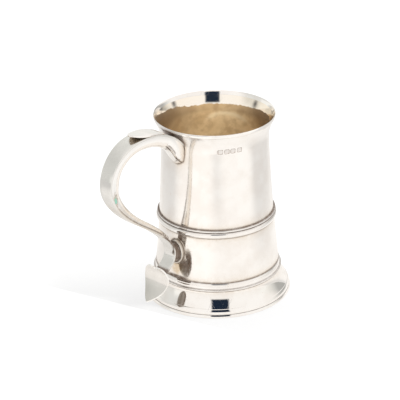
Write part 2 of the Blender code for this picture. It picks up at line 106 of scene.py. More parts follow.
# Handle sections
STRAP_THICKNESS = 0.0013
STRAP_EDGE = 0.0003
STRAP_WIDTH_TOP = 0.013
STRAP_WIDTH_GRIP = 0.0098
STRAP_WIDTH_TAIL = 0.0098
KEEL_SHARE = 0.42
KEEL_FLATNESS = 0.93
KEEL_POWER = 2.0
FLANK_SWEEP = radians(62)
FLANK_STEPS = 14
KEEL_STEPS = 6
CHANNEL_INSET = 0.0003
CHANNEL_DEPTH_CROWN = 0.0077
CHANNEL_DEPTH_GRIP = 0.0092
CHANNEL_DEPTH_SCROLL = 0.0032
CHANNEL_DEPTH_END = 0.0018
CHANNEL_FALL_POWER = 1.6
CHANNEL_START = 0.42
CHANNEL_END = 0.58
SOCKET_DROP = 0.0162
SOCKET_BURIED_SHARE = 0.12
SOCKET_BELLY_POWER = 1.15
SOCKET_KEEL_SHARE = 0.8
SOCKET_FLATNESS_DRUM = 0.82
SOCKET_FLATNESS_CHANNEL = 0.55
SOCKET_FLANK_SWEEP = radians(40)
SOCKET_KEEL_POWER = 1.6
SOCKET_FOLD_END = 0.82
SOCKET_HEEL = 0.0012

# Thumb tongue
TONGUE_ROOT = 0.5
TONGUE_LEAVES = 0.86
TONGUE_LENGTH = 0.0143
TONGUE_LIFT_ANGLE = radians(14.5)
TONGUE_THICKNESS = 0.001
TONGUE_ROOT_THICKNESS = 0.0005
TONGUE_ROOT_NARROWING = 0.82
TONGUE_POINT_POWER = 0.65
TONGUE_TIP_SHARE = 0.06
TONGUE_CURL = 0.35

# Lower boss
BOSS_BELOW_GIRDLE = 0.0047
BOSS_FLANGE_RADIUS = 0.0082
BOSS_FLANGE_THICKNESS = 0.0013
BOSS_RADIUS = 0.0066
BOSS_LENGTH = 0.0032
BOSS_EDGE = 0.0005
BOSS_OVAL = 0.8
BOSS_NECK_SHARE = 0.86
TOUCH_RISE = 0.0018

# Heart terminal: flat across and dished along its length
HEART_REACH = 0.0138
HEART_DROP = 0.0072
HEART_TILT_TOP = radians(-24)
HEART_TILT_TIP = radians(56)
HEART_CURL_RUN = 0.0195
HEART_LENGTH = 0.0244
HEART_HALF_WIDTH = 0.0103
HEART_SHOULDER = 0.0072
HEART_LOBE_RISE = 0.0018
HEART_LOBE_POWER = 0.6
HEART_TOP_POWER = 3
HEART_SIDE_POWER = 1.2
HEART_TIP_POWER = 0.65
HEART_THICKNESS = 0.0011
HEART_SEAT = 0.0085
HEART_OVER_STRAP = 0.0001

# Blank punches in a row below the lip, where such mugs are struck
PUNCH_HEIGHT = 0.1119
PUNCH_TURNS = (228.4, 235.1, 241.5, 248.8)
PUNCH_HALF_SIZE = 0.0018
PUNCH_DEPTH = 0.0003
PUNCH_WALL = 0.0005

# Fineness of the meshes; the drum's columns are in degrees: from, to and step
TURNS = 240
BOSS_TURNS = 72
DRUM_COLUMNS = (
    (0.0, 160.0, 1.5),
    (160.0, 200.0, 0.5),
    (200.0, 226.0, 1.5),
    (226.0, 252.0, 0.4),
    (252.0, 360.0, 1.5),
)
LINING_SHARE = 0.6
DRUM_ROW = 0.0006
PUNCH_ROW = 0.00025
PUNCH_BAND = 0.002
FILLER_ROW = 0.002
FILLER_INSET = 0.0003
BASE_RINGS = 12
SKIRT_STEPS = 26
BEAD_POINTS = 16
LIP_STEPS = 6
COLLAR_STEPS = 7
RIM_STEPS = 8
EDGE_POINTS = 6
CORNER_POINTS = 4
STATIONS = 26
TIP_STEPS = 30
HEART_COLUMNS = 30
HEART_ROWS = 24
HEART_ROOM_STEPS = 16
SHARP_ANGLE = radians(38)

# Heights and radii that follow from the sizes above
WALL_BOTTOM = FOOT_HEIGHT + SOLDER_GAP
WALL_TOP = MUG_HEIGHT - LIP_WIRE_HEIGHT - SOLDER_GAP
FLARE_START = WALL_TOP - LIP_FLARE_HEIGHT
LIP_RADIUS = THROAT_RADIUS + LIP_FLARE + LIP_WIRE_PROUD
FOOT_RADIUS = DRUM_FOOT_RADIUS + FOOT_SPREAD
REED_BOTTOM = GIRDLE_BOTTOM + GIRDLE_BEAD_HEIGHT
GIRDLE_TOP = REED_BOTTOM + GIRDLE_REED_HEIGHT
COLLAR_BOTTOM = FOOT_HEIGHT - COLLAR_HEIGHT
COLLAR_BEAD_TOP = COLLAR_BOTTOM + COLLAR_BEAD_HEIGHT
COLLAR_ROOT = DRUM_FOOT_RADIUS + COLLAR_FLARE
RIM_TOP_RADIUS = FOOT_RADIUS - FOOT_RIM_FALL
BOSS_HEIGHT = GIRDLE_BOTTOM - BOSS_BELOW_GIRDLE - BOSS_FLANGE_RADIUS
TOUCH_HEIGHT = BOSS_HEIGHT + TOUCH_RISE
AXIS_PLACE = Vector(((LIP_RADIUS + GRIP_REACH - FOOT_RADIUS) / 2, 0.0, 0.0))


# Small helpers


def blend(first, second, share):
    return first + (second - first) * share


def eased(share):
    share = min(max(share, 0.0), 1.0)
    return share * share * (3 - 2 * share)


def stepped(value, start, end):
    """Smooth step from none at one value to full at another."""
    return eased((value - start) / (end - start))


def bell(offset, width):
    return exp(-((offset / width) ** 2))


def between(first, last, shares):
    """Points between two corners, each at its own shares of the way across and up."""
    return [(blend(first[0], last[0], across), blend(first[1], last[1], up)) for across, up in shares]


def arc_points(centre, radii, start, end, count):
    """Points on an ellipse arc, angles in radians from the first axis to the second."""
    points = []
    for i in range(count):
        angle = start + (end - start) * i / (count - 1)
        points.append((centre[0] + radii[0] * cos(angle), centre[1] + radii[1] * sin(angle)))
    return points


def smoothed(points, steps):
    """Points on a smooth curve through the given ones."""
    padded = [points[0]] + list(points) + [points[-1]]
    curve = []
    for before, start, end, after in zip(padded, padded[1:], padded[2:], padded[3:]):
        for i in range(steps):
            t = i / steps
            place = []
            for a, b, c, d in zip(before, start, end, after):
                rise = (c - a) * t + (2 * a - 5 * b + 4 * c - d) * t**2 + (3 * b - a - 3 * c + d) * t**3
                place.append(b + rise / 2)
            curve.append(tuple(place))
    curve.append(tuple(points[-1]))
    return curve


def even_turns(count=TURNS):
    return [2 * pi * i / count for i in range(count)]


def turned(outline, turns=None):
    """Spin a closed outline of (radius, height) points round the mug's axis."""
    turns = turns or even_turns()
    builder = bmesh.new()
    columns = []
    poles = {}
    for angle in turns:
        column = []
        for index, (radius, height) in enumerate(outline):
            if radius > 0:
                column.append(builder.verts.new((radius * cos(angle), radius * sin(angle), height)))
                continue
            if index not in poles:
                poles[index] = builder.verts.new((0.0, 0.0, height))
            column.append(poles[index])
        columns.append(column)
    count = len(outline)
    for column, following in zip(columns, columns[1:] + columns[:1]):
        for i in range(count):
            j = (i + 1) % count
            corners = []
            for vert in (column[i], following[i], following[j], column[j]):
                if vert not in corners:
                    corners.append(vert)
            if len(corners) > 2:
                builder.faces.new(corners)
    return builder


def lofted(rings):
    """Skin a row of equal closed rings and cap both ends."""
    builder = bmesh.new()
    rows = [[builder.verts.new(point) for point in ring] for ring in rings]
    count = len(rings[0])
    for row, following in zip(rows, rows[1:]):
        for i in range(count):
            j = (i + 1) % count
            builder.faces.new((row[i], row[j], following[j], following[i]))
    builder.faces.new(reversed(rows[0]))
    builder.faces.new(rows[-1])
    return builder


def add_mesh(name, builder, materials=()):
    bmesh.ops.recalc_face_normals(builder, faces=builder.faces)
    mesh = bpy.data.meshes.new(name)
    builder.to_mesh(mesh)
    builder.free()
    piece = bpy.data.objects.new(name, mesh)
    piece.location = AXIS_PLACE
    for material in materials:
        mesh.materials.append(material)
    bpy.context.scene.collection.objects.link(piece)
    return piece


def fit_against(piece, cutter):
    """Take a cutter's room out of a piece."""
    cut = piece.modifiers.new("fit", "BOOLEAN")
    cut.operation = "DIFFERENCE"
    cut.solver = "EXACT"
    cut.object = cutter
    graph = bpy.context.evaluated_depsgraph_get()
    result = bpy.data.meshes.new_from_object(piece.evaluated_get(graph))
    old = piece.data
    piece.modifiers.clear()
    piece.data = result
    result.name = old.name
    bpy.data.meshes.remove(old)


# Silver materials


class Nodes:
    """Adds nodes to a tree; a value is a number, a colour, a vector or what another node gives."""

    def __init__(self, tree):
        self.tree = tree

    def feed(self, value, socket):
        if hasattr(value, "is_output"):
            self.tree.links.new(value, socket)
        elif socket.type == "RGBA":
            socket.default_value = (*value, 1.0)
        else:
            socket.default_value = value

    def add(self, kind, inputs=(), **settings):
        """Add a node, feed its inputs by name or number, and return its outputs."""
        node = self.tree.nodes.new("ShaderNode" + kind)
        for name, setting in settings.items():
            setattr(node, name, setting)
        for name, value in dict(inputs).items():
            self.feed(value, node.inputs[name])
        return node.outputs

    def math(self, operation, *values, clamp=False):
        return self.add("Math", enumerate(values), operation=operation, use_clamp=clamp)[0]

    def plus(self, first, second, clamp=False):
        return self.math("ADD", first, second, clamp=clamp)

    def times(self, first, second, clamp=False):
        return self.math("MULTIPLY", first, second, clamp=clamp)

    def most(self, first, *others):
        """The greatest of several values."""
        for other in others:
            first = self.math("MAXIMUM", first, other)
        return first

    def ranged(self, value, low, high, to_low=0.0, to_high=1.0):
        """Smooth step of a value from one range to another."""
        inputs = {"Value": value, "From Min": low, "From Max": high, "To Min": to_low, "To Max": to_high}
        return self.add("MapRange", inputs, interpolation_type="SMOOTHSTEP")[0]

    def mixed(self, share, first, second):
        return self.add("Mix", {"Factor": share, "A": first, "B": second}, data_type="RGBA")["Result"]


class Surface(Nodes):
    """A metal material under construction."""

    def __init__(self, name):
        self.material = bpy.data.materials.new(name)
        self.material.use_nodes = True
        super().__init__(self.material.node_tree)
        self.shader = self.tree.nodes["Principled BSDF"]
        self.place = self.add("TexCoord")["Object"]

    def noise(self, scale, detail=3.0, stretch=None, turn=(0.0, 0.0, 0.0)):
        """Cloudy noise; stretch is a scale for each axis and turn an angle for each."""
        place = self.place
        if stretch:
            place = self.add("Mapping", {"Vector": place, "Scale": stretch, "Rotation": turn})[0]
        return self.add("TexNoise", {"Vector": place, "Scale": scale, "Detail": detail})["Fac"]

    def attribute(self, name):
        return self.add("Attribute", attribute_name=name)["Fac"]

    def blotched(self, name, blotches, *ranges):
        """Values kept on the mesh, broken up by blotches."""
        return self.times(self.attribute(name), self.ranged(blotches, *ranges), clamp=True)

    def covered(self, colour, layers):
        """A colour with others laid over it, each by its share."""
        for share, over in layers:
            colour = self.mixed(share, colour, over)
        return colour

    def bump(self, height, distance, under=None):
        inputs = {"Height": height, "Distance": distance}
        if under is not None:
            inputs["Normal"] = under
        return self.add("Bump", inputs)["Normal"]

    def finished(self, colour, metallic, roughness, normal=None):
        """Feed the shader and return the material."""
        inputs = self.shader.inputs
        self.feed(colour, inputs["Base Color"])
        self.feed(metallic, inputs["Metallic"])
        self.feed(roughness, inputs["Roughness"])
        if normal is not None:
            self.feed(normal, inputs["Normal"])
        return self.material


# The grime colour also serves as painted shade
GRIME_AND_SHADE = (0.15, 0.1, 0.07)
# The patina colour also serves as a painted reflection at the handle's tail
PATINA_AND_REFLECTION = (0.7, 0.545, 0.36)
SHADE = (0.35, 0.355, 0.32)
RUBBED = (1.0, 0.985, 0.96)
GRIME_ROUGHNESS = 0.3
SCRATCH_ROUGHNESS = 0.1
SCRATCH_DEPTH = 0.000004
SCRATCH_EDGE = (0.66, 0.72)
SCRATCH_WAYS = (
    ((45.0, 1.2, 1.2), (0.3, 0.5, 0.7)),
    ((1.2, 1.6, 40.0), (0.6, -0.4, 0.2)),
    ((1.4, 42.0, 1.2), (-0.5, 0.3, 1.1)),
)
GOLD_DEEP = (0.66, 0.44, 0.215)
GOLD_PALE = (0.88, 0.63, 0.34)
GOLD_STREAK = (0.53, 0.345, 0.17)
GOLD_MOTTLE = (0.46, 0.29, 0.14)
# Painted highlight and painted shade on the tarnish inside
GOLD_GLEAM = (1.0, 0.8, 0.5)
GOLD_GLOOM = (0.13, 0.08, 0.04)
LIP_BRIGHT = (0.99, 0.975, 0.935)
# Painted reflections on the lip inside: a warm gold tone and dark spots
LIP_GOLD_REFLECTION = (0.98, 0.88, 0.75)
LIP_REFLECTION_DARK = (0.13, 0.12, 0.115)
TARNISH_ROUGHNESS = 0.26
TARNISH_WOBBLE = 0.00006
VERDIGRIS = (0.27, 0.53, 0.42)
VERDIGRIS_STAIN = (0.42, 0.3, 0.19)


def greened(surface, colour, metallic, centre, radii):
    """Colour and metal with a crust of verdigris, of the given radii, and a brown stain round it."""
    shares = surface.place
    for operation, by in (("SUBTRACT", centre), ("DIVIDE", radii)):
        shares = surface.add("VectorMath", {0: shares, 1: by}, operation=operation)[0]
    reach = surface.add("VectorMath", {0: shares}, operation="LENGTH")["Value"]
    reach = surface.plus(reach, surface.ranged(surface.noise(900.0), 0.3, 0.7, -0.4, 0.4))
    stain = surface.ranged(reach, 1.0, 2.4, 0.6, 0.0)
    crust = surface.ranged(reach, 0.75, 1.05, 1.0, 0.0)
    colour = surface.covered(colour, ((stain, VERDIGRIS_STAIN), (crust, VERDIGRIS)))
    return colour, surface.math("SUBTRACT", metallic, crust, clamp=True)


def worn_silver(name, tones, roughness, wobble=0.00003, verdigris=None):
    """Polished silver with drifting tone, hair scratches, a warm patina near seams and grime in them.

    The grime and shade layers also carry painted shade, and the patina layer a painted reflection.
    """
    surface = Surface(name)
    drift = surface.plus(surface.noise(38.0, 4.0), surface.noise(105.0, 5.0))
    blotch = surface.noise(420.0, 5.0)
    warm = surface.blotched("patina", blotch, 0.25, 0.62, 0.45, 1.0)
    dirt_and_shade = surface.blotched("grime", blotch, 0.2, 0.55, 0.6, 1.0)
    pits = surface.ranged(surface.noise(650.0, 2.0), 0.735, 0.77, 0.0, 0.5)
    layers = ((warm, PATINA_AND_REFLECTION), (dirt_and_shade, GRIME_AND_SHADE), (surface.attribute("shade"), SHADE), (pits, PATINA_AND_REFLECTION))
    colour = surface.covered(surface.mixed(surface.ranged(drift, 0.8, 1.25), *tones), layers)
    metallic = surface.ranged(dirt_and_shade, 0.0, 1.0, 1.0, 0.25)
    if verdigris:
        colour, metallic = greened(surface, colour, metallic, *verdigris)
    scratches = [surface.noise(60.0, 2.0, *way) for way in SCRATCH_WAYS]
    lines = surface.most(*(surface.ranged(scratch, *SCRATCH_EDGE) for scratch in scratches))
    gloss = surface.ranged(surface.noise(110.0, 5.0), 0.3, 0.75, roughness * 0.75, roughness * 1.3)
    gloss = surface.plus(gloss, surface.times(lines, SCRATCH_ROUGHNESS))
    gloss = surface.plus(gloss, surface.times(dirt_and_shade, GRIME_ROUGHNESS), clamp=True)
    normal = surface.bump(surface.noise(95.0, 2.0), wobble)
    return surface.finished(colour, metallic, gloss, surface.bump(lines, -SCRATCH_DEPTH, normal))


def bright_silver(name, clean):
    """Silver rubbed bright, as an edge is."""
    surface = Surface(name)
    worn = surface.ranged(surface.noise(300.0, 4.0), 0.3, 0.7)
    gloss = surface.ranged(surface.noise(500.0), 0.3, 0.7, 0.2, 0.35)
    return surface.finished(surface.mixed(worn, clean, RUBBED), 1.0, gloss)


def tarnished_inside(name):
    """Gold-brown tarnish below a polished lip, cloudy and a little streaked.

    Painted shade and a painted highlight lie on the tarnish, and painted reflections on the lip.
    """
    surface = Surface(name)
    clouds = surface.noise(75.0, 6.0)
    streaks = surface.noise(30.0, 4.0, (1.0, 1.0, 0.25))
    mottle = surface.noise(210.0, 5.0)
    # Painted highlight and painted shade on the tarnish
    gleam = surface.blotched("gleam", clouds, 0.35, 0.6, 0.4, 1.0)
    gloom = surface.attribute("gloom")
    gold = surface.mixed(surface.ranged(clouds, 0.32, 0.68), GOLD_DEEP, GOLD_PALE)
    layers = (
        (surface.ranged(streaks, 0.5, 0.68, 0.0, 0.6), GOLD_STREAK),
        (surface.ranged(mottle, 0.42, 0.64, 0.0, 0.45), GOLD_MOTTLE),
        (gleam, GOLD_GLEAM),
        (gloom, GOLD_GLOOM),
    )
    gold = surface.covered(gold, layers)
    ragged = surface.ranged(surface.noise(260.0, 4.0), 0.3, 0.7, -0.25, 0.25)
    cover = surface.ranged(surface.plus(surface.attribute("tarnish"), ragged), 0.35, 0.65)
    # Painted reflections on the lip: dark spots, and a warm gold tone where the painted shade lies
    soft_spot = surface.blotched("grime", clouds, 0.3, 0.55, 0.55, 1.0)
    lip = surface.mixed(gloom, LIP_BRIGHT, LIP_GOLD_REFLECTION)
    colour = surface.covered(lip, ((cover, gold), (soft_spot, LIP_REFLECTION_DARK)))
    metallic = surface.ranged(cover, 0.0, 1.0, 1.0, 0.5)
    gloss = surface.ranged(surface.noise(240.0, 4.0), 0.3, 0.7, 0.07, 0.15)
    gloss = surface.plus(gloss, surface.times(cover, TARNISH_ROUGHNESS))
    return surface.finished(colour, metallic, gloss, surface.bump(surface.noise(70.0), TARNISH_WOBBLE))


# Drum


def wall_radius(height):
    """Outer radius of the drum: a hollow taper from foot to throat, then the lip's flare."""
    span = FLARE_START - WALL_BOTTOM
    share = min(max((FLARE_START - height) / span, 0.0), 1.0)
    radius = THROAT_RADIUS + (DRUM_FOOT_RADIUS - THROAT_RADIUS) * share**TAPER_POWER
    if height > FLARE_START:
        lift = (height - FLARE_START) / LIP_FLARE_HEIGHT
        radius += LIP_FLARE * lift**LIP_FLARE_POWER
    return radius


def spaced(low, high, step):
    count = max(round((high - low) / step), 1)
    return [blend(low, high, i / count) for i in range(count)]


def drum_turns():
    """Angles round the drum, closer together at the handle and at the punches."""
    turns = []
    for low, high, step in DRUM_COLUMNS:
        turns += [radians(angle) for angle in spaced(low, high, step)]
    return turns


def punch_depth(angle, height):
    """How deep the blank punches go at a place on the drum."""
    deepest = 0.0
    for turn in PUNCH_TURNS:
        across = abs(angle - radians(turn)) * wall_radius(height)
        along = abs(height - PUNCH_HEIGHT)
        reach = (across**4 + along**4) ** 0.25
        deepest = max(deepest, stepped(reach, PUNCH_HALF_SIZE, PUNCH_HALF_SIZE - PUNCH_WALL))
    return deepest * PUNCH_DEPTH


def turn_of(point):
    """Angle of a point round the mug's axis."""
    return atan2(point.y, point.x) % (2 * pi)


def is_inside(point, share=0.5):
    """Whether a point of the drum lies deeper than a share of the wall."""
    return hypot(point.x, point.y) < wall_radius(point.z) - WALL_THICKNESS * share


def make_body_wall(materials):
    top = WALL_TOP + SOLDER_GAP
    punch_low = PUNCH_HEIGHT - PUNCH_BAND
    punch_high = PUNCH_HEIGHT + PUNCH_BAND
    heights = spaced(FOOT_HEIGHT, punch_low, DRUM_ROW) + spaced(punch_low, punch_high, PUNCH_ROW)
    heights += spaced(punch_high, top, DRUM_ROW) + [top]
    outer = [(wall_radius(z), z) for z in heights]
    inner = [(radius - WALL_THICKNESS, z) for radius, z in outer[::-2]]
    builder = turned(outer + inner, drum_turns())
    for vert in builder.verts:
        if is_inside(vert.co):
            continue
        shrink = 1 - punch_depth(turn_of(vert.co), vert.co.z) / hypot(vert.co.x, vert.co.y)
        vert.co.x *= shrink
        vert.co.y *= shrink
    for face in builder.faces:
        face.material_index = 1 if is_inside(face.calc_center_median(), LINING_SHARE) else 0
    return add_mesh("silver_body_wall", builder, materials)


def drum_filler():
    """The drum filled solid, a little smaller than its outside, to trim what is soldered to it."""
    heights = spaced(FOOT_HEIGHT, WALL_TOP, FILLER_ROW) + [WALL_TOP]
    outline = [(wall_radius(z) - FILLER_INSET, z) for z in heights]
    return add_mesh("drum_filler", turned([(0.0, FOOT_HEIGHT)] + outline + [(0.0, WALL_TOP)]))


# Lip wire, as shares across and up: inside from the wall to the crest, outside from its widest place in
LIP_INSIDE = ((0.0, 0.0), (0.28, 0.33), (0.57, 0.66), (0.76, 0.82), (1.0, 1.0))
LIP_CREST = 1 / 3
LIP_OUTSIDE = ((LIP_CREST, 1.0), (1 / 6, 0.84), (0.0, 0.55), (1 / 3, 0.15), (1.0, 0.0))


def make_lip_wire(materials):
    """Rolled edge: the wall's flare runs on inside, and a half-round wire stands out below it."""
    bottom = WALL_TOP + SOLDER_GAP
    edge = wall_radius(WALL_TOP)
    crest = blend(LIP_RADIUS, edge, LIP_CREST)
    inner = between((edge - WALL_THICKNESS, bottom), (crest, MUG_HEIGHT), LIP_INSIDE)
    outer = between((LIP_RADIUS, bottom), (edge, MUG_HEIGHT), LIP_OUTSIDE)
    outline = smoothed(inner, LIP_STEPS)[:-1] + smoothed(outer, LIP_STEPS)
    return add_mesh("silver_lip_wire", turned(outline), materials)


def bead(bottom, height, proud):
    """A half-round moulding on the drum, from its lower to its upper edge."""
    half = height / 2
    points = []
    for rise, level in arc_points((0.0, bottom + half), (1.0, half), -pi / 2, pi / 2, BEAD_POINTS):
        points.append((wall_radius(level) + blend(GIRDLE_ROOT, proud + SOLDER_GAP, rise), level))
    return points


def make_girdle_band(materials):
    outer = bead(GIRDLE_BOTTOM, GIRDLE_BEAD_HEIGHT, GIRDLE_BEAD_PROUD)
    outer += bead(REED_BOTTOM, GIRDLE_REED_HEIGHT, GIRDLE_REED_PROUD)[1:]
    inner = [(wall_radius(z) - WALL_THICKNESS / 4, z) for z in (GIRDLE_TOP, REED_BOTTOM, GIRDLE_BOTTOM)]
    return add_mesh("silver_girdle_band", turned(outer + inner), materials)


# Base and foot


def make_base_disc(materials):
    top = WALL_BOTTOM + BASE_THICKNESS
    radius = wall_radius(top) - WALL_THICKNESS
    rings = [radius * i / BASE_RINGS for i in range(1, BASE_RINGS + 1)]
    outline = [(0.0, WALL_BOTTOM)] + [(r, WALL_BOTTOM) for r in rings]
    outline += [(r, top) for r in reversed(rings)] + [(0.0, top)]
    return add_mesh("silver_base_disc", turned(outline), materials)


# Collar: shares of a step out and of a height up, for its bead and for the cove over it
COLLAR_RIDGE = 1 / 3
COLLAR_BEAD = ((0.0, 0.0), (1.0, 0.3), (1.0, 0.7), (-COLLAR_RIDGE, 1.0))
COLLAR_COVE_FOOT = (0.25, 0.35)
COLLAR_COVE = ((0.25, 0.52), (0.0, 0.68), (0.25, 0.79), (0.63, 0.91), (1.0, 1.0))


def make_foot_collar(materials):
    crest = DRUM_FOOT_RADIUS + COLLAR_STEP
    ridge = COLLAR_ROOT - COLLAR_STEP * COLLAR_RIDGE
    inner = DRUM_FOOT_RADIUS - WALL_THICKNESS - COLLAR_SEAT_WIDTH
    foot = (crest, COLLAR_BEAD_TOP)
    lower = between((COLLAR_ROOT, COLLAR_BOTTOM), (COLLAR_ROOT + COLLAR_STEP, COLLAR_BEAD_TOP), COLLAR_BEAD)
    upper = [(ridge, COLLAR_BEAD_TOP)] + between(foot, (ridge, FOOT_HEIGHT), [COLLAR_COVE_FOOT])
    upper += between(foot, (DRUM_FOOT_RADIUS, FOOT_HEIGHT), COLLAR_COVE)
    outline = smoothed(lower, COLLAR_STEPS)[:-1] + smoothed(upper, COLLAR_STEPS)
    outline += [(inner, FOOT_HEIGHT), (inner, COLLAR_BOTTOM)]
    return add_mesh("silver_foot_collar", turned(outline), materials)


def make_foot_skirt(materials):
    shares = [i / SKIRT_STEPS for i in range(SKIRT_STEPS + 1)]
    curve = [(share**SKIRT_POWER, share) for share in shares]
    outer = between((COLLAR_ROOT, COLLAR_BOTTOM), (RIM_TOP_RADIUS, FOOT_RIM_HEIGHT), curve)
    inner = [(radius - SKIRT_THICKNESS, z) for radius, z in outer[::-2]]
    return add_mesh("silver_foot_skirt", turned(outer + inner), materials)


# Foot rim: shares of a step in and of a height up, for the fillet and for the bead over it
RIM_FILLET = ((0.0, 0.25), (0.125, 0.45), (1.0, 0.95), (4 / 3, 1.0))
RIM_BEAD = ((4 / 3, 0.0), (1.0, 0.12), (25 / 24, 0.33), (1.25, 0.54))
RIM_SHOULDER = 1.2


def make_foot_rim(materials):
    """Ring with a rounded fillet on the ground, a groove above it, and a bead that slopes up to the skirt."""
    inner = FOOT_RADIUS - FOOT_RIM_WIDTH
    groove = FOOT_RADIUS - FOOT_RIM_STEP
    soft = FOOT_RIM_STEP / 2
    fillet = between((FOOT_RADIUS, 0.0), (groove, FOOT_FILLET_HEIGHT), RIM_FILLET)
    slope = between((FOOT_RADIUS, FOOT_FILLET_HEIGHT), (groove, FOOT_RIM_HEIGHT), RIM_BEAD)
    slope.append((RIM_TOP_RADIUS + soft * RIM_SHOULDER, FOOT_RIM_HEIGHT - soft))
    slope.append((RIM_TOP_RADIUS, FOOT_RIM_HEIGHT))
    outline = [(inner, 0.0)]
    outline += arc_points((FOOT_RADIUS - soft, soft), (soft, soft), -pi / 2, 0.0, EDGE_POINTS)
    outline += smoothed(fillet, RIM_STEPS)[:-1] + smoothed(slope, RIM_STEPS) + [(inner, FOOT_RIM_HEIGHT)]
    return add_mesh("silver_foot_rim", turned(outline), materials)


# Handle path: the strap's outer face, as (out, up) points in the mug's middle plane

BOSS_FACE = wall_radius(BOSS_HEIGHT) + SOLDER_GAP + BOSS_FLANGE_THICKNESS + BOSS_LENGTH
JOINT_HEIGHT = MUG_HEIGHT - JOINT_DROP
TOUCH = Vector((BOSS_FACE + SOLDER_GAP + STRAP_THICKNESS, TOUCH_HEIGHT))
NOTCH = TOUCH + Vector((HEART_REACH, -HEART_DROP))


def heading(angle):
    return Vector((cos(angle), sin(angle)))


def heart_station(below):
    """Point of the heart's front in the middle plane at a run below its notch, and the way out there."""
    bend = (HEART_TILT_TIP - HEART_TILT_TOP) / HEART_CURL_RUN
    curled = min(below, HEART_CURL_RUN)
    tilt = HEART_TILT_TOP + bend * curled
    rounding = (heading(HEART_TILT_TOP) - heading(tilt)) / bend
    return NOTCH + rounding + heading(tilt - pi / 2) * (below - curled), heading(tilt)


def path_segments():
    """Five Bezier stretches: root to crown, grip, scroll, touch on the boss, and heart."""
    joint = Vector((wall_radius(JOINT_HEIGHT), JOINT_HEIGHT))
    crown = Vector((LIP_RADIUS + CROWN_REACH, MUG_HEIGHT + CROWN_LIFT))
    grip = Vector((LIP_RADIUS + GRIP_REACH, MUG_HEIGHT - GRIP_DROP))
    scroll = Vector((LIP_RADIUS + SCROLL_REACH, TOUCH_HEIGHT + SCROLL_RISE))
    seat = heart_station(HEART_SEAT)[0]
    level = Vector((1.0, 0.0))
    plumb = Vector((0.0, -1.0))
    fall = -heading(SCROLL_ANGLE)
    segments = []
    for start, leaving, pull_out, pull_in, arriving, end in (
        (joint, heading(RISE_ANGLE), PULL_JOINT, PULL_INTO_CROWN, level, crown),
        (grip, plumb, PULL_FROM_GRIP, PULL_INTO_SCROLL, fall, scroll),
        (scroll, fall, PULL_FROM_SCROLL, PULL_INTO_TOUCH, plumb, TOUCH),
        (TOUCH, plumb, PULL_FROM_TOUCH, PULL_INTO_HEART, heading(-TAIL_ANGLE), seat),
    ):
        run = (end - start).length
        segments.append((start, start + leaving * run * pull_out, end - arriving * run * pull_in, end))
    over = (grip - crown) * PULL_ROUND_GRIP
    segments.insert(1, (crown, crown + level * over.x, grip + plumb * over.y, grip))
    return segments


def bezier_station(knots, share):
    """Point and unit direction of a cubic Bezier at a share of its run."""
    start, pull, push, end = knots
    rest = 1 - share
    point = start * rest**3 + pull * (3 * rest**2 * share) + push * (3 * rest * share**2) + end * share**3
    way = (pull - start) * rest**2 + (push - pull) * (2 * rest * share) + (end - push) * share**2
    return point, way.normalized()


def path_stations(first, last, per_segment):
    """Stations from one place to another along the path; a place is a stretch plus a share, as 1.5."""
    stations = []
    for index, knots in enumerate(path_segments()):
        low = max(first - index, 0.0)
        high = min(last - index, 1.0)
        if high <= low:
            continue
        count = max(round(per_segment * (high - low)), 2)
        for i in range(1 if stations else 0, count + 1):
            share = blend(low, high, i / count)
            point, along = bezier_station(knots, share)
            stations.append((index + share, point, along))
    return stations


def inward(along):
    """Unit normal of the path towards the finger loop side of the upper handle."""
    return Vector((along.y, -along.x))


def strap_width(place):
    if place <= 1:
        return STRAP_WIDTH_TOP
    if place <= 2:
        return blend(STRAP_WIDTH_TOP, STRAP_WIDTH_GRIP, eased(place - 1))
    if place <= 3:
        return blend(STRAP_WIDTH_GRIP, STRAP_WIDTH_TAIL, eased(place - 2))
    return STRAP_WIDTH_TAIL


def channel_depth(place):
    if place <= 1:
        return CHANNEL_DEPTH_CROWN
    if place <= 2:
        return blend(CHANNEL_DEPTH_CROWN, CHANNEL_DEPTH_GRIP, eased(place - 1))
    if place <= 3:
        return blend(CHANNEL_DEPTH_SCROLL, CHANNEL_DEPTH_GRIP, (3 - place) ** CHANNEL_FALL_POWER)
    return blend(CHANNEL_DEPTH_SCROLL, CHANNEL_DEPTH_END, (place - 3) / CHANNEL_END)


def to_space(flat, across):
    return Vector((-flat.x, across, flat.y))


def bar_ring(top, under, width, edge):
    """Flat bar section from an outer to an inner point, with rounded corners and points across its faces."""
    half = width / 2
    way = (under - top).normalized()
    thick = (under - top).length
    inner = half - edge
    corners = arc_points((inner, edge), (edge, edge), -pi / 2, 0.0, CORNER_POINTS)
    corners += arc_points((inner, thick - edge), (edge, edge), 0.0, pi / 2, CORNER_POINTS)
    across_under = [(inner * share, thick) for share in (0.5, 0.0, -0.5)]
    across_top = [(inner * share, 0.0) for share in (-0.5, 0.0, 0.5)]
    other = [(-across, deep) for across, deep in reversed(corners)]
    ring = corners + across_under + other + across_top
    return [to_space(top + way * deep, across) for across, deep in ring]


def make_back_strap(materials, filler):
    """Bar along the whole path, sunk a little into drum and heart."""
    stations = path_stations(0.0, 5.0, STATIONS)
    first_place, first_point, first_along = stations[0]
    buried = first_point - first_along * (WALL_THICKNESS + 2 * STRAP_THICKNESS)
    stations.insert(0, (first_place, buried, first_along))
    rings = []
    for place, point, along in stations:
        under = point + inward(along) * STRAP_THICKNESS
        rings.append(bar_ring(point, under, strap_width(place), STRAP_EDGE))
    strap = add_mesh("silver_handle_back_strap", lofted(rings), materials)
    fit_against(strap, filler)
    rear = HEART_THICKNESS - HEART_OVER_STRAP
    room = add_mesh("heart_room", heart_shell(-HEART_THICKNESS, rear, HEART_ROOM_STEPS, HEART_ROOM_STEPS))
    fit_against(strap, room)
    bpy.data.objects.remove(room)
    return strap


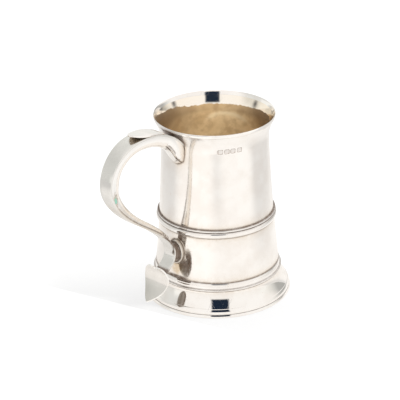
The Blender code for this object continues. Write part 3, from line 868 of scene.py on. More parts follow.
def keeled_half(keel=KEEL_SHARE, flatness=KEEL_FLATNESS, sweep=FLANK_SWEEP, power=KEEL_POWER):
    """Half a U section from its edge to the keel's middle, as (across, deep) shares."""
    points = []
    for i in range(FLANK_STEPS + 1):
        angle = sweep * i / FLANK_STEPS
        across = 1 - (1 - keel) * (1 - cos(angle)) / (1 - cos(sweep))
        points.append((across, flatness * sin(angle) / sin(sweep)))
    for i in range(1, KEEL_STEPS + 1):
        rest = 1 - i / KEEL_STEPS
        points.append((keel * rest, blend(flatness, 1.0, 1 - rest**power)))
    return points


def keeled_ring(top, way, half, depth, side):
    """Closed U section, straight across at the strap."""
    shape = side + [(-across, deep) for across, deep in side[-2::-1]]
    return [to_space(top + way * depth * deep, half * across) for across, deep in shape]


def make_inner_channel(materials):
    rings = []
    for place, point, along in path_stations(CHANNEL_START, 3 + CHANNEL_END, STATIONS):
        way = inward(along)
        top = point + way * STRAP_THICKNESS
        half = strap_width(place) / 2 - CHANNEL_INSET
        rings.append(keeled_ring(top, way, half, channel_depth(place) + SOLDER_GAP, keeled_half()))
    return add_mesh("silver_handle_inner_channel", lofted(rings), materials)


def make_upper_socket(materials, filler):
    """Root between strap and drum, as deep as the channel at its end; its near crease comes with it."""
    tip_height = JOINT_HEIGHT - SOCKET_DROP
    tip = Vector((wall_radius(tip_height), tip_height))
    stations = path_stations(0.0, CHANNEL_START, 2 * STATIONS)
    last_place, last_point, last_along = stations[-1]
    seat = STRAP_THICKNESS
    last_low = last_point + inward(last_along) * (seat + SOLDER_GAP + channel_depth(last_place))
    place, point, along = stations[0]
    stations.insert(0, (place, point - along * 2 * seat, along))
    tops = [point + inward(along) * seat for place, point, along in stations]
    buried_tip = tip + (tip - last_low) * SOCKET_BURIED_SHARE
    outside = inward((last_low - tip).normalized())
    rings = []
    creases = []
    count = len(stations) - 1
    for i, (place, point, along) in enumerate(stations):
        share = i / count
        low = buried_tip.lerp(last_low, share**SOCKET_BELLY_POWER)
        low += outside * SOCKET_HEEL * sin(2 * pi * share)
        half = strap_width(place) / 2 - CHANNEL_INSET
        fold = stepped(share, 1.0, SOCKET_FOLD_END)
        flatness = blend(SOCKET_FLATNESS_DRUM, SOCKET_FLATNESS_CHANNEL, share)
        side = keeled_half(
            blend(KEEL_SHARE, SOCKET_KEEL_SHARE, fold),
            blend(KEEL_FLATNESS, flatness, fold),
            blend(FLANK_SWEEP, SOCKET_FLANK_SWEEP, fold),
            blend(KEEL_POWER, SOCKET_KEEL_POWER, fold),
        )
        rings.append(keeled_ring(tops[i], low - tops[i], half, 1.0, side))
        across, deep = side[FLANK_STEPS]
        creases.append(to_space(tops[i] + (low - tops[i]) * deep, -half * across))
    socket = add_mesh("silver_upper_socket", lofted(rings), materials)
    fit_against(socket, filler)
    return socket, creases


def make_thumb_tongue(materials):
    """Leaf lying on the strap near its crown, then curling up off it to a rounded tip."""
    lying = path_stations(TONGUE_ROOT, TONGUE_LEAVES, 2 * STATIONS)
    place, leave, along = lying[-1]
    lift = heading(TONGUE_LIFT_ANGLE)
    tip = leave + along.lerp(lift, 1 - TONGUE_CURL) * TONGUE_LENGTH
    pull = TONGUE_LENGTH * TONGUE_CURL
    knots = (leave, leave + along * pull, tip - lift * pull, tip)
    rings = []
    for i, (place, point, direction) in enumerate(lying):
        share = i / (len(lying) - 1)
        thick = blend(TONGUE_ROOT_THICKNESS, TONGUE_THICKNESS, share)
        width = STRAP_WIDTH_TOP * blend(TONGUE_ROOT_NARROWING, 1.0, sqrt(share))
        top = point - inward(direction) * (thick + SOLDER_GAP)
        rings.append(bar_ring(top, point, width, thick / 4))
    for i in range(1, TIP_STEPS + 1):
        share = sin(pi / 2 * i / TIP_STEPS)
        point, direction = bezier_station(knots, share)
        width = STRAP_WIDTH_TOP * max((1 - share * share) ** TONGUE_POINT_POWER, TONGUE_TIP_SHARE)
        top = point - inward(direction) * (TONGUE_THICKNESS + SOLDER_GAP * (1 - share))
        rings.append(bar_ring(top, point, width, TONGUE_THICKNESS / 4))
    return add_mesh("silver_thumb_tongue", lofted(rings), materials)


# Lower joint and heart


def make_lower_boss(materials, filler):
    face = BOSS_FACE + SOLDER_GAP
    flange = face - BOSS_LENGTH - SOLDER_GAP
    inside = wall_radius(BOSS_HEIGHT) - 2 * WALL_THICKNESS
    soft = BOSS_EDGE
    neck = BOSS_RADIUS * BOSS_NECK_SHARE
    corners = (
        ((face - soft, neck - soft), (soft, soft), 0.0),
        ((flange + soft, BOSS_RADIUS + soft), (soft, -soft), pi / 2),
        ((flange - soft, BOSS_FLANGE_RADIUS - soft), (soft, soft), 0.0),
    )
    outline = [(0.0, face), (neck / 2, face)]
    for centre, radii, start in corners:
        arc = arc_points(centre, radii, start, start + pi / 2, EDGE_POINTS)
        outline += [(radius, out) for out, radius in arc]
    outline += [(BOSS_FLANGE_RADIUS, inside), (0.0, inside)]
    builder = turned(outline, even_turns(BOSS_TURNS))
    for vert in builder.verts:
        across, up, out = vert.co
        vert.co = (-out, across * BOSS_OVAL, up + BOSS_HEIGHT)
    boss = add_mesh("silver_lower_boss", builder, materials)
    fit_against(boss, filler)
    return boss


def heart_edges(share):
    """Top and bottom edge of the heart, measured down from the notch, at a share of the half width."""
    lobe = HEART_LOBE_RISE * max(sin(pi * share), 0.0) ** HEART_LOBE_POWER
    top = HEART_SHOULDER * (1 - sqrt(max(1 - share**HEART_TOP_POWER, 0.0))) - lobe
    bottom = blend(HEART_SHOULDER, HEART_LENGTH, (1 - share**HEART_SIDE_POWER) ** HEART_TIP_POWER)
    return top, bottom


def heart_shell(front_depth, rear_depth, half_columns, rows, edge_material=0):
    """Heart-shaped shell between two depths behind the front, dished along its length."""
    builder = bmesh.new()
    layers = []
    for depth in (front_depth, rear_depth):
        columns = []
        for i in range(-half_columns, half_columns + 1):
            share = sin(pi / 2 * i / half_columns)
            top, bottom = heart_edges(abs(share))
            column = []
            for j in range(rows + 1):
                point, out = heart_station(blend(top, bottom, j / rows))
                column.append(builder.verts.new(to_space(point - out * depth, HEART_HALF_WIDTH * share)))
            columns.append(column)
        layers.append(columns)
    front, rear = layers
    last = 2 * half_columns
    for i in range(last):
        for j in range(rows):
            builder.faces.new((front[i][j], front[i + 1][j], front[i + 1][j + 1], front[i][j + 1]))
            builder.faces.new((rear[i][j], rear[i][j + 1], rear[i + 1][j + 1], rear[i + 1][j]))
        for j in (0, rows):
            edge = builder.faces.new((front[i][j], rear[i][j], rear[i + 1][j], front[i + 1][j]))
            edge.material_index = edge_material
    for i in (0, last):
        for j in range(rows):
            edge = builder.faces.new((front[i][j], front[i][j + 1], rear[i][j + 1], rear[i][j]))
            edge.material_index = edge_material
    bmesh.ops.remove_doubles(builder, verts=builder.verts, dist=1e-6)
    return builder


def make_heart_terminal(materials):
    shell = heart_shell(0.0, HEART_THICKNESS, HEART_COLUMNS, HEART_ROWS, edge_material=1)
    return add_mesh("silver_heart_terminal", shell, materials)


# Patina, grime, tarnish and painted light, kept on the points of each mesh; a fade is a start and an end

# Level direction from the axis towards the front, where the camera stands
FRONT_SIDE = Vector((-0.7254, -0.6884, 0.0))
TARNISH_SIDE_FADE = (-0.02, 0.02)
TARNISH_EDGE_POWER = 1.5
TARNISH_WANDER = 55.0
# Painted shade inside, darker towards the sides and near the top, and a painted highlight along a bow
GLOOM_POWERS = (0.9, 3.4)
GLOOM_FADE = (0.1, 0.12)
TOP_GLOOM = 0.5
TOP_GLOOM_FADE = (0.1099, 0.1139)
GLEAM = 0.7
GLEAM_WAY = Vector((0.6805, -0.7326, 0.0))
GLEAM_TOP = 0.1109
GLEAM_TOP_ASIDE = 0.008
GLEAM_BEND = 22.0
GLEAM_HALF_WIDTH = 0.0015
GLEAM_LEFT_FADE = (-0.009, 0.0)
GLEAM_RIGHT_FADE = (0.026, 0.016)

DirtAndShade = namedtuple("DirtAndShade", "grime patina shade seam", defaults=(0.0, 0.0, 0.0, 1.0))


def keep_values(piece, **layers):
    """Keep named values on the points of a piece."""
    for name, values in layers.items():
        layer = piece.data.attributes.new(name, "FLOAT", "POINT")
        layer.data.foreach_set("value", values)


def surface_tree(piece):
    graph = bpy.context.evaluated_depsgraph_get()
    return BVHTree.FromObject(piece, graph)


def nearest_gaps(piece, neighbours, reach):
    """Distance from each point of a piece to the nearest of its neighbours, as far as a reach."""
    trees = [surface_tree(other) for other in neighbours]
    gaps = []
    for vert in piece.data.vertices:
        nearest = reach
        for tree in trees:
            place, normal, index, gap = tree.find_nearest(vert.co, reach)
            if gap is not None:
                nearest = min(nearest, gap)
        gaps.append(nearest)
    return gaps


def age_and_shade(piece, neighbours, seam=0.00045, halo=0.0022, halo_strength=0.5, extra=None):
    """Grime where a piece meets its neighbours and a warm patina further out.

    The extra function takes a point, its normal and its gap, and gives the dirt and painted shade of that
    point, with the share of the seam's grime that stays.
    """
    grime = []
    patina = []
    shade = []
    for vert, gap in zip(piece.data.vertices, nearest_gaps(piece, neighbours, 4 * halo)):
        own = extra(vert.co, vert.normal, gap) if extra else DirtAndShade()
        grime.append(max(own.grime, own.seam * bell(gap, seam)))
        patina.append(max(own.patina, own.seam * halo_strength * exp(-gap / halo)))
        shade.append(own.shade)
    keep_values(piece, grime=grime, patina=patina, shade=shade)


def soft_spot(point, centre, across, tall, strength=1.0):
    """Soft spot of a half width and a half height: strongest at its centre and none beyond."""
    offset = point - Vector(centre)
    return strength * eased(1 - hypot(hypot(offset.x, offset.y) / across, offset.z / tall))


def level_way(point):
    """Level direction from the mug's axis to a point."""
    return Vector((point.x, point.y, 0.0)).normalized()


def tarnish_inside(piece, edge_shown, edge_sides, fade):
    """Full tarnish low down, none at the lip; the edge wanders, and is lowest opposite the front side.

    Painted shade makes the tarnish browner towards the sides and near its edge, and a painted highlight
    makes it paler along a bow below that.
    """
    cover = []
    gloom = []
    gleam = []
    for vert in piece.data.vertices:
        height = vert.co.z
        aside = vert.co.dot(GLEAM_WAY)
        shown = max(-level_way(vert.co).dot(FRONT_SIDE), 0.0)
        edge_side = blend(*edge_sides, stepped(aside, *TARNISH_SIDE_FADE))
        edge = blend(edge_side, edge_shown, shown**TARNISH_EDGE_POWER)
        edge += noise.noise(vert.co * TARNISH_WANDER) * fade
        cover.append(stepped(height, edge + fade / 2, edge - fade / 2))
        side = 1 - shown ** blend(*GLOOM_POWERS, stepped(height, *GLOOM_FADE))
        top = TOP_GLOOM * stepped(height, *TOP_GLOOM_FADE)
        gloom.append(1 - (1 - side) * (1 - top))
        bow = GLEAM_TOP - GLEAM_BEND * (aside - GLEAM_TOP_ASIDE) ** 2
        along_bow = stepped(aside, *GLEAM_LEFT_FADE) * stepped(aside, *GLEAM_RIGHT_FADE) if shown > 0 else 0.0
        gleam.append(GLEAM * along_bow * bell(height - bow, GLEAM_HALF_WIDTH))
    keep_values(piece, tarnish=cover, gloom=gloom, gleam=gleam)


# The mug: silvers, each a clean and a shaded tone, and the pieces

SILVER = ((0.97, 0.945, 0.915), (0.915, 0.875, 0.835))
# The inner channel's silver is lighter than the drum's as painted light
FLANK_SILVER = ((0.99, 0.98, 0.96), (0.975, 0.95, 0.92))
# The handle's silver is darker than the drum's as painted shade; its higher roughness makes it duller
HANDLE_SILVER = ((0.83, 0.815, 0.785), (0.77, 0.755, 0.725))
HEART_SILVER = ((0.9, 0.87, 0.83), (0.84, 0.81, 0.77))
BODY_WOBBLE = 0.00008
VERDIGRIS_SPOT = ((-0.0957, -0.0046, 0.0968), (0.0013, 0.004, 0.0029))

polished = worn_silver("polished_silver", SILVER, 0.1, BODY_WOBBLE)
moulded = worn_silver("moulded_silver", SILVER, 0.05)
dull_shaded = worn_silver("handle_silver", HANDLE_SILVER, 0.18)
heart_grey = worn_silver("heart_silver", HEART_SILVER, 0.18)
flank = worn_silver("flank_silver", FLANK_SILVER, 0.1, verdigris=VERDIGRIS_SPOT)
bright_edge = bright_silver("edge_silver", SILVER[0])
inside = tarnished_inside("tarnished_silver")

filler = drum_filler()
wall = make_body_wall([polished, inside])
lip = make_lip_wire([polished])
girdle = make_girdle_band([moulded])
base = make_base_disc([inside])
collar = make_foot_collar([moulded])
skirt = make_foot_skirt([moulded])
rim = make_foot_rim([moulded])
strap = make_back_strap([dull_shaded], filler)
channel = make_inner_channel([flank])
socket, creases = make_upper_socket([flank], filler)
tongue = make_thumb_tongue([polished])
boss = make_lower_boss([dull_shaded], filler)
heart = make_heart_terminal([heart_grey, bright_edge])
bpy.data.objects.remove(filler)

# Where each piece is dirty, warm, or dark with painted shade

LIP_TARNISH_EDGE = 0.1163
LIP_TARNISH_SIDES = (0.1215, 0.1183)
LIP_TARNISH_FADE = 0.0016
BASE_TARNISH_FADE = 0.003
# Painted reflections: dark spots inside the lip
LIP_REFLECTION_SPOTS = (
    ((0.0012, 0.0377, 0.1208), 0.0032, 0.006),
    ((0.0368, -0.0026, 0.1204), 0.003, 0.006),
    ((-0.0125, 0.0354, 0.1224), 0.004, 0.0022),
    ((0.0299, -0.0234, 0.1224), 0.0034, 0.0022),
)
# Grime and painted shade under the lip at the handle's joint
JOINT_GRIME_AND_SHADE = ((-0.0383, 0.0028, 0.1217), 0.014, 0.0034, 2.0)
UNDER_LIP_GRIME_AND_SHADE = ((-0.0352, -0.0155, 0.1216), 0.008, 0.002, 0.4)
FOOT_SEAM_SMUDGE = ((-0.0408, -0.002, 0.0222), 0.0125, 0.0022, 2.0)
WALL_GRIME_AND_SHADE_SPOTS = (JOINT_GRIME_AND_SHADE, UNDER_LIP_GRIME_AND_SHADE, FOOT_SEAM_SMUDGE)
# Painted reflection of the handle's tail on the drum
TAIL_REFLECTION = ((-0.0405, -0.0015, 0.0285), 0.008, 0.008, 1.2)
FACING = (0.0, 0.5)
EDGE_FACING = (0.5, 0.75)
HEART_FACING = (0.2, 0.45)
# Grime and painted shade under the lip beside the handle
LIP_GRIME_SHADE_FADE = (0.113, 0.116)
LIP_GRIME_SHADE_REACHES = (0.002, 0.0058)
LIP_GRIME_SHADE_SIDES = (-0.003, 0.003)
HANDLE_SIDE = -0.02
TAIL_REFLECTION_MOST = 0.85
# Darker punch walls, and painted shade on the punch floors
PUNCH_FLOOR_SHADE = 0.3
PUNCH_TOP_FADE = (0.0, 0.25)
PUNCH_FLOOR_FADE = (1.075, 0.825)
SEAM_FADE = (0.097, 0.086)
SCROLL_WARMTH = 0.36
INNER_WARMTH = 0.07
NEAR_FLANK_FADE = (0.0, -0.003)
# Painted shade along the inner channel's far seam
FAR_SHADE_FROM = 0.001
FAR_SHADE_REACH = 0.003
# Painted shade along the opened crease
CREASE_FIRST, CREASE_LAST = 11, 19
CREASE_STEPS = 4
CREASE_SHADE = 0.95
CREASE_REACH = 0.00035
# Painted shade on the boss, except a bright rim on the near side
BOSS_LIT_EDGE = 0.0009
BOSS_FAR_FADE = (-0.0009, 0.0021)
# Painted shade on the backs of strap, boss and heart
BACK_SHADE = 0.97
BACK_FADE = (0.062, 0.058)
BACK_NEAR_SHARE = 0.25
BACK_NEAR_FADE = (-0.0012, -0.0027)
BACK_TAIL_SHARE = 0.45
BACK_TAIL_FADE = (0.0375, 0.0355)
# Darker near edge of the strap where the channel ends
EDGE_DARKENING = 0.95
EDGE_TOP_FADE = (0.0575, 0.0565)
EDGE_BOTTOM_FADE = (0.044, 0.047)
# Painted shade on the strap's front at the heart's notch
NOTCH_SHADE = 0.95
NOTCH_FADE = (0.0067, 0.0049)
CHANNEL_GRIME_ABOVE = 0.055
# Painted shade on the heart's back and towards its far lower front
HEART_BACK_FADE = (0.0355, 0.0335)
HEART_SHADE = 0.5
HEART_SHADE_RUN = 0.8 * HEART_LENGTH
HEART_SHADE_GAIN = 1.15
HEART_SHADE_START = 0.12
HEART_NEAR_SHARE = 0.3
# Painted shade and brown patina under the tongue's tip
TONGUE_GRIME_AND_SHADE = 0.55
# Grime and painted shade in the grooves, fuller and wider away from the front
GROOVE_GRIME_AND_SHADE = (0.9, 1.0)
GROOVE_WIDENING = (1.0, 1.5)
SEAM_LINE = 0.0007
MOULDING_LINE = 0.0004
RIM_LINE = 0.0002
# Grime and painted shade in the rim's groove
RIM_LINE_GRIME_AND_SHADE = 0.7

# Lines of grime and painted shade along the mouldings: height and share
WALL_LINES = ((GIRDLE_TOP, 1.0), (GIRDLE_BOTTOM, 1.0), (FOOT_HEIGHT, 1.0))
GIRDLE_LINES = ((GIRDLE_BOTTOM, 1.0), (REED_BOTTOM, 1.0), (GIRDLE_TOP, 1.0))
COLLAR_LINES = ((FOOT_HEIGHT, 1.0), (COLLAR_BEAD_TOP, 0.6), (COLLAR_BOTTOM, 0.7))

joint_trees = [surface_tree(strap), surface_tree(socket)]
heart_tree = surface_tree(heart)
open_crease = []
for start, end in zip(creases[CREASE_FIRST:CREASE_LAST], creases[CREASE_FIRST + 1 :]):
    open_crease += [start.lerp(end, step / CREASE_STEPS) for step in range(CREASE_STEPS)]


def groove_lines(point, lines, width):
    """Grime and painted shade along level lines, fuller and wider away from the front side."""
    away = 1 - max(level_way(point).dot(FRONT_SIDE), 0.0)
    width *= blend(*GROOVE_WIDENING, away)
    return blend(*GROOVE_GRIME_AND_SHADE, away) * max(share * bell(point.z - level, width) for level, share in lines)


def handle_gap(point):
    """Distance to the nearest point of the handle's upper end."""
    return min(tree.find_nearest(point)[3] for tree in joint_trees)


def lip_dirt_and_shade(point, normal, gap):
    """Grime and painted shade on the lower outside of the lip over the handle's joint."""
    grime = min(1.0, soft_spot(point, *JOINT_GRIME_AND_SHADE))
    return DirtAndShade(grime * stepped(normal.dot(level_way(point)), *FACING), seam=0.0)


def wall_dirt_and_shade(point, normal, gap):
    """Painted reflections inside the lip; outside, grime and painted shade at joints, mouldings and punches,
    and a painted reflection at the tail.
    """
    if is_inside(point):
        return DirtAndShade(max(soft_spot(point, *place) for place in LIP_REFLECTION_SPOTS), seam=0.0)
    marks = [groove_lines(point, WALL_LINES, SEAM_LINE)]
    if point.x < HANDLE_SIDE and point.z > LIP_GRIME_SHADE_FADE[0]:
        reach = blend(*LIP_GRIME_SHADE_REACHES, stepped(point.y, *LIP_GRIME_SHADE_SIDES))
        marks.append(bell(handle_gap(point), reach) * stepped(point.z, *LIP_GRIME_SHADE_FADE))
    sunk = punch_depth(turn_of(point), point.z) / PUNCH_DEPTH
    marks.append(stepped(sunk, *PUNCH_TOP_FADE) * stepped(sunk, *PUNCH_FLOOR_FADE))
    marks.append(PUNCH_FLOOR_SHADE * sunk)
    marks += [soft_spot(point, *place) for place in WALL_GRIME_AND_SHADE_SPOTS]
    return DirtAndShade(min(1.0, max(marks)), min(TAIL_REFLECTION_MOST, soft_spot(point, *TAIL_REFLECTION)))


def flank_dirt_and_shade(point, normal, gap):
    """A clean seam on the upper handle's near side; brown seams and a warm tone on the lower scroll.

    Painted shade along the far seam.
    """
    low = stepped(point.z, *SEAM_FADE)
    far = bell(gap, FAR_SHADE_REACH) if point.y > FAR_SHADE_FROM else 0.0
    warmth = blend(INNER_WARMTH, SCROLL_WARMTH, stepped(point.y, *NEAR_FLANK_FADE))
    return DirtAndShade(far, warmth * low, seam=low)


def socket_crease_shade(point, normal, gap):
    """Painted shade along the part of the near crease that has opened."""
    near = min((point - place).length for place in open_crease)
    return DirtAndShade(CREASE_SHADE * bell(near, CREASE_REACH))


def strap_dirt_and_shade(point, normal, gap):
    """Dark back from the channel's end down, dark near edge there, dark front at the heart's notch.

    The dark back and front are painted shade.
    """
    back = BACK_SHADE * stepped(normal.x, *FACING) * stepped(point.z, *BACK_FADE)
    back *= blend(1.0, BACK_NEAR_SHARE, stepped(point.y, *BACK_NEAR_FADE))
    back *= blend(1.0, BACK_TAIL_SHARE, stepped(point.z, *BACK_TAIL_FADE))
    side = EDGE_DARKENING * stepped(-normal.y, *EDGE_FACING)
    side *= stepped(point.z, *EDGE_TOP_FADE) * stepped(point.z, *EDGE_BOTTOM_FADE)
    notch = NOTCH_SHADE * stepped(heart_tree.find_nearest(point)[3], *NOTCH_FADE)
    seam = stepped(point.z, *SEAM_FADE) if point.z > CHANNEL_GRIME_ABOVE else 0.0
    return DirtAndShade(max(back, notch, side), seam=seam)


def boss_shade(point, normal, gap):
    """Painted shade on the neck and face, and a rim that is bright on the near side."""
    reach = hypot(point.y / BOSS_OVAL, point.z - BOSS_HEIGHT)
    inner = stepped(reach, BOSS_FLANGE_RADIUS - BOSS_LIT_EDGE / 2, BOSS_FLANGE_RADIUS - BOSS_LIT_EDGE)
    return DirtAndShade(BACK_SHADE * max(inner, stepped(point.y, *BOSS_FAR_FADE)))


def heart_painted_shade(point, normal, gap):
    """Painted shade: back dark below its lobes; front greyer towards its far lower corner."""
    back = BACK_SHADE * stepped(normal.x, *HEART_FACING) * stepped(point.z, *HEART_BACK_FADE)
    down = (NOTCH.y - point.z) / HEART_SHADE_RUN
    far = (point.y + HEART_HALF_WIDTH) / (2 * HEART_HALF_WIDTH)
    reach = HEART_SHADE_GAIN * down * blend(HEART_NEAR_SHARE, 1.0, far)
    shade = HEART_SHADE * eased(reach - HEART_SHADE_START)
    return DirtAndShade(back, shade=shade, seam=0.0)


def girdle_dirt_and_shade(point, normal, gap):
    """Grime and painted shade in the groove and along both edges."""
    return DirtAndShade(groove_lines(point, GIRDLE_LINES, MOULDING_LINE), seam=0.0)


def collar_dirt_and_shade(point, normal, gap):
    """Grime and painted shade at the drum, above the bead and at the skirt."""
    return DirtAndShade(groove_lines(point, COLLAR_LINES, MOULDING_LINE), seam=0.0)


def rim_dirt_and_shade(point, normal, gap):
    """Grime and painted shade in the groove between fillet and bead."""
    return DirtAndShade(RIM_LINE_GRIME_AND_SHADE * bell(point.z - FOOT_FILLET_HEIGHT, RIM_LINE), seam=0.0)


def tongue_dirt_and_shade(point, normal, gap):
    """Painted shade and brown patina only on the underside of the free tip."""
    under = stepped(-normal.z, *FACING)
    return DirtAndShade(TONGUE_GRIME_AND_SHADE * under, under, seam=0.0)


age_and_shade(wall, [girdle, collar, strap, socket, boss], seam=0.0006, extra=wall_dirt_and_shade)
age_and_shade(lip, [wall], extra=lip_dirt_and_shade)
age_and_shade(girdle, [wall], extra=girdle_dirt_and_shade)
age_and_shade(base, [wall])
age_and_shade(collar, [wall], extra=collar_dirt_and_shade)
age_and_shade(skirt, [collar], seam=0.0003, halo_strength=0.3)
age_and_shade(rim, [skirt], extra=rim_dirt_and_shade)
age_and_shade(strap, [wall, boss, channel, heart], extra=strap_dirt_and_shade)
age_and_shade(channel, [strap], seam=0.0004, halo=0.0012, halo_strength=0.4, extra=flank_dirt_and_shade)
age_and_shade(socket, [wall], extra=socket_crease_shade)
age_and_shade(tongue, [strap], extra=tongue_dirt_and_shade)
age_and_shade(boss, [wall, strap], extra=boss_shade)
age_and_shade(heart, [strap], extra=heart_painted_shade)
tarnish_inside(wall, LIP_TARNISH_EDGE, LIP_TARNISH_SIDES, LIP_TARNISH_FADE)
tarnish_inside(base, MUG_HEIGHT, (MUG_HEIGHT, MUG_HEIGHT), BASE_TARNISH_FADE)

SLOTS = {
    "body_wall": (wall, "polished_silver"),
    "lip_wire": (lip, "polished_silver"),
    "girdle_band": (girdle, "moulded_silver"),
    "base_disc": (base, "tarnished_silver"),
    "foot_collar": (collar, "moulded_silver"),
    "foot_skirt": (skirt, "polished_silver"),
    "foot_rim": (rim, "polished_silver"),
    "handle_back_strap": (strap, "handle_silver"),
    "handle_inner_channel": (channel, "moulded_silver"),
    "upper_socket": (socket, "moulded_silver"),
    "thumb_tongue": (tongue, "handle_silver"),
    "lower_boss": (boss, "handle_silver"),
    "heart_terminal": (heart, "handle_silver"),
}
for node, (piece, slot) in SLOTS.items():
    piece.data.shade_smooth()
    piece.data.set_sharp_from_angle(angle=SHARP_ANGLE)
    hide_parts(node)
    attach(piece, "root")


# Camera

CAMERA_PLACE = Vector((-0.76497, -0.73555, 0.56052))
CAMERA_RIGHT = Vector((0.68041, -0.73247, -0.0231))
CAMERA_UP = Vector((0.32101, 0.26956, 0.9079))
CAMERA_LENS = 162.0
CAMERA_SENSOR = 36.0
CAMERA_REACH = 20.0

scene = bpy.context.scene
lens = bpy.data.cameras.new("camera")
lens.lens = CAMERA_LENS
lens.sensor_width = CAMERA_SENSOR
lens.clip_end = CAMERA_REACH
camera = bpy.data.objects.new("camera", lens)
camera_back = CAMERA_RIGHT.cross(CAMERA_UP)
turn = Matrix((CAMERA_RIGHT, CAMERA_UP, camera_back)).transposed()
camera.matrix_world = Matrix.Translation(CAMERA_PLACE) @ turn.to_4x4()
scene.collection.objects.link(camera)
scene.camera = camera

# Table, surroundings and lamps are laid out as seen from the camera: right, towards the camera, up

LEVEL_RIGHT = Vector((CAMERA_RIGHT.x, CAMERA_RIGHT.y, 0.0)).normalized()
LEVEL_NEAR = Vector((camera_back.x, camera_back.y, 0.0)).normalized()
STUDIO_TURN = Matrix((LEVEL_RIGHT, -LEVEL_NEAR, Vector((0.0, 0.0, 1.0)))).transposed()

# White table: part of its light is its own, so that it stays white, and part shows the shadow

WHITE = (1.0, 1.0, 1.0)
TABLE_SIZE = 6.0
TABLE_DROP = 0.0001
TABLE_DIFFUSE = (0.36, 0.36, 0.36)
TABLE_WARM = (1.0, 0.96, 0.91)
TABLE_GLOW = 0.56
TABLE_SIDE_GLOW = 0.31
TABLE_LEFT_GLOW = 0.08
TABLE_LEAST_GLOW = 0.3
TABLE_FAR_LEFT_LOSS = (-0.6, -0.18, 0.42, 0.0)
TABLE_BACK_GLOW = (-0.04, 0.045, 0.0, 0.12)
TABLE_FRONT_GLOW = 0.2
FRONT_WAY = (-0.487, -0.8735)
FRONT_EDGE = 0.0541
FRONT_SOFT = 0.0015

# Patches of the table that mirrors see darker: ranges across and away, with the shares at their ends
LEFT_PATCH = ((-0.22, -0.02, 0.85, 0.0), (-0.1, 0.04))
RIGHT_PATCH = ((0.02, 0.28), (-0.14, 0.0))
NEAR_STRIP = ((0.0, 0.13, 0.5, 0.0), (-0.29, -0.2, 1.0, 0.0))
BACK_PATCH = (0.06, 0.17, 0.0, 0.45)
LEFT_FRONT_PATCH = ((-0.06, 0.02, 1.0, 0.0), (-0.14, 0.0, 1.0, 0.0))

half_table = TABLE_SIZE / 2
table_corners = [(-half_table, -half_table), (half_table, -half_table)]
table_corners += [(half_table, half_table), (-half_table, half_table)]
table_mesh = bpy.data.meshes.new("table")
table_mesh.from_pydata([(x, y, -TABLE_DROP) for x, y in table_corners], [], [(0, 1, 2, 3)])
table = bpy.data.objects.new("table", table_mesh)
table.matrix_world = Matrix.Translation(AXIS_PLACE) @ STUDIO_TURN.to_4x4()
scene.collection.objects.link(table)
paper = bpy.data.materials.new("table")
paper.use_nodes = True
paper.node_tree.nodes.clear()
table_mesh.materials.append(paper)

sheet = Nodes(paper.node_tree)
across, away, above = sheet.add("SeparateXYZ", {0: sheet.add("TexCoord")["Object"]})


def patch(sideways, side_range, away_range):
    return sheet.times(sheet.ranged(sideways, *side_range), sheet.ranged(away, *away_range))


dim = sheet.most(
    patch(across, *LEFT_PATCH),
    patch(across, *RIGHT_PATCH),
    patch(sheet.math("ABSOLUTE", across), *NEAR_STRIP),
    sheet.ranged(away, *BACK_PATCH),
)
mirrored = sheet.ranged(dim, 0.0, 1.0, TABLE_GLOW, TABLE_SIDE_GLOW)
mirrored = sheet.plus(mirrored, sheet.times(patch(across, *LEFT_FRONT_PATCH), TABLE_LEFT_GLOW))
mirrored = sheet.math("SUBTRACT", mirrored, sheet.ranged(across, *TABLE_FAR_LEFT_LOSS))
mirrored = sheet.most(mirrored, TABLE_LEAST_GLOW)
in_front = sheet.plus(sheet.times(across, FRONT_WAY[0]), sheet.times(away, FRONT_WAY[1]))
in_front = sheet.ranged(in_front, FRONT_EDGE - FRONT_SOFT, FRONT_EDGE + FRONT_SOFT, 0.0, TABLE_FRONT_GLOW)
shown = sheet.plus(sheet.plus(sheet.ranged(away, *TABLE_BACK_GLOW), TABLE_GLOW), in_front)
seen = sheet.add("LightPath")["Is Camera Ray"]
strength = sheet.add("Mix", {"Factor": seen, "A": mirrored, "B": shown})["Result"]
glow = sheet.add("Emission", {"Color": sheet.mixed(seen, TABLE_WARM, WHITE), "Strength": strength})[0]
matt = sheet.add("BsdfDiffuse", {"Color": TABLE_DIFFUSE})[0]
sheet.add("OutputMaterial", {"Surface": sheet.add("AddShader", {0: matt, 1: glow})[0]})

# White surroundings; the silver also sees grey walls, as turns in degrees and levels, and one dark window

LOW_WALLS = (
    (-180, 0.9),
    (-130, 0.96),
    (-104, 0.96),
    (-98, 0.77),
    (-82, 0.76),
    (-77, 0.97),
    (-60, 1.0),
    (60, 1.0),
    (88, 0.97),
    (100, 0.8),
    (114, 0.46),
    (145, 0.42),
    (160, 0.7),
    (180, 0.9),
)
HIGH_WALLS = ((-180, 0.95), (-140, 0.8), (-120, 0.75), (-72, 0.75), (-55, 1.0), (180, 1.0))
HIGH_WALL_FADE = (radians(8), radians(22))
SKY_FADE = (radians(42), radians(70))
WALL_TINT = (1.0, 1.0, 0.965)
SKY_TINT = (1.0, 0.98, 0.955)
WINDOW = (0.012, 0.022, 0.042)
WINDOW_LEFT, WINDOW_RIGHT = radians(-12), radians(18)
WINDOW_LOW, WINDOW_HIGH = radians(20.5), radians(44)
WINDOW_SOFT = radians(2)

world = bpy.data.worlds.new("studio")
scene.world = world
world.use_nodes = True
dome = Nodes(world.node_tree)
turn_back = {"Vector": dome.add("TexCoord")["Generated"], "Rotation": STUDIO_TURN.transposed().to_euler()}
across, away, above = dome.add("SeparateXYZ", {0: dome.add("Mapping", turn_back)[0]})
azimuth = dome.math("ARCTAN2", across, dome.times(away, -1.0))
elevation = dome.math("ARCSINE", above)


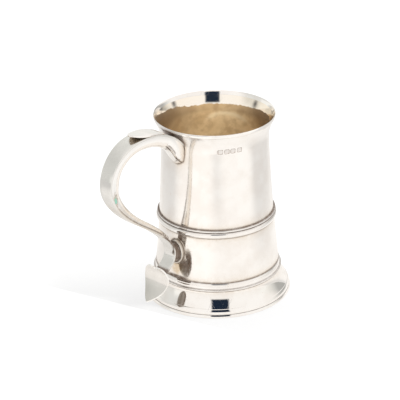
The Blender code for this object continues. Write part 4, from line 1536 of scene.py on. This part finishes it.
def walls_round(levels):
    """Wall colour by direction; full light has the sky's tint."""
    node = dome.tree.nodes.new("ShaderNodeValToRGB")
    dome.feed(dome.plus(dome.math("DIVIDE", azimuth, 2 * pi), 0.5), node.inputs["Fac"])
    stops = node.color_ramp.elements
    for index, (turn, level) in enumerate(levels):
        place = (turn + 180) / 360
        tint = WALL_TINT if level < 1 else SKY_TINT
        stop = stops[index] if index < 2 else stops.new(place)
        stop.position = place
        stop.color = (*(level * part for part in tint), 1.0)
    return node.outputs["Color"]


def past(value, edge, *shares):
    """Soft step at an edge of the window."""
    return dome.ranged(value, edge - WINDOW_SOFT, edge + WINDOW_SOFT, *shares)


colour = dome.mixed(dome.ranged(elevation, *HIGH_WALL_FADE), walls_round(LOW_WALLS), walls_round(HIGH_WALLS))
colour = dome.mixed(dome.ranged(elevation, *SKY_FADE), colour, SKY_TINT)
between_sides = dome.times(past(azimuth, WINDOW_LEFT), past(azimuth, WINDOW_RIGHT, 1.0, 0.0))
between_levels = dome.times(past(elevation, WINDOW_LOW), past(elevation, WINDOW_HIGH, 1.0, 0.0))
colour = dome.mixed(dome.times(between_sides, between_levels), colour, WINDOW)
colour = dome.mixed(dome.add("LightPath")["Is Glossy Ray"], WHITE, colour)
dome.feed(colour, world.node_tree.nodes["Background"].inputs["Color"])

# Key light from the right and front, high up: a narrow panel, so that the shadow's near edge is crisp

KEY_PLACE = (1.78, 0.53, 2.55)
KEY_WIDTH = 0.25
KEY_HEIGHT = 0.95
KEY_POWER = 39.5

# Lamp over the camera that shines into the mouth

MOUTH_LAMP_PLACE = (0.1, 1.2, 1.4)
MOUTH_LAMP_RADIUS = 0.01
MOUTH_LAMP_CONE = radians(3.2)
MOUTH_LAMP_SOFTNESS = 0.4
MOUTH_LAMP_POWER = 200.0


def add_lamp(name, data, place, aim):
    """Lamp at a studio place, turned to an aim; it lights but is not mirrored."""
    lamp = bpy.data.objects.new(name, data)
    lamp.location = AXIS_PLACE + LEVEL_RIGHT * place[0] + LEVEL_NEAR * place[1] + Vector((0.0, 0.0, place[2]))
    lamp.rotation_euler = (aim - lamp.location).to_track_quat("-Z", "Y").to_euler()
    lamp.visible_glossy = False
    scene.collection.objects.link(lamp)


panel = bpy.data.lights.new("key", "AREA")
panel.shape = "RECTANGLE"
panel.size = KEY_WIDTH
panel.size_y = KEY_HEIGHT
panel.energy = KEY_POWER
add_lamp("key", panel, KEY_PLACE, AXIS_PLACE)
mouth = bpy.data.lights.new("mouth_lamp", "SPOT")
mouth.shadow_soft_size = MOUTH_LAMP_RADIUS
mouth.spot_size = MOUTH_LAMP_CONE
mouth.spot_blend = MOUTH_LAMP_SOFTNESS
mouth.energy = MOUTH_LAMP_POWER
add_lamp("mouth_lamp", mouth, MOUTH_LAMP_PLACE, AXIS_PLACE + Vector((0.0, 0.0, WALL_TOP)))

scene.view_settings.view_transform = "Standard"
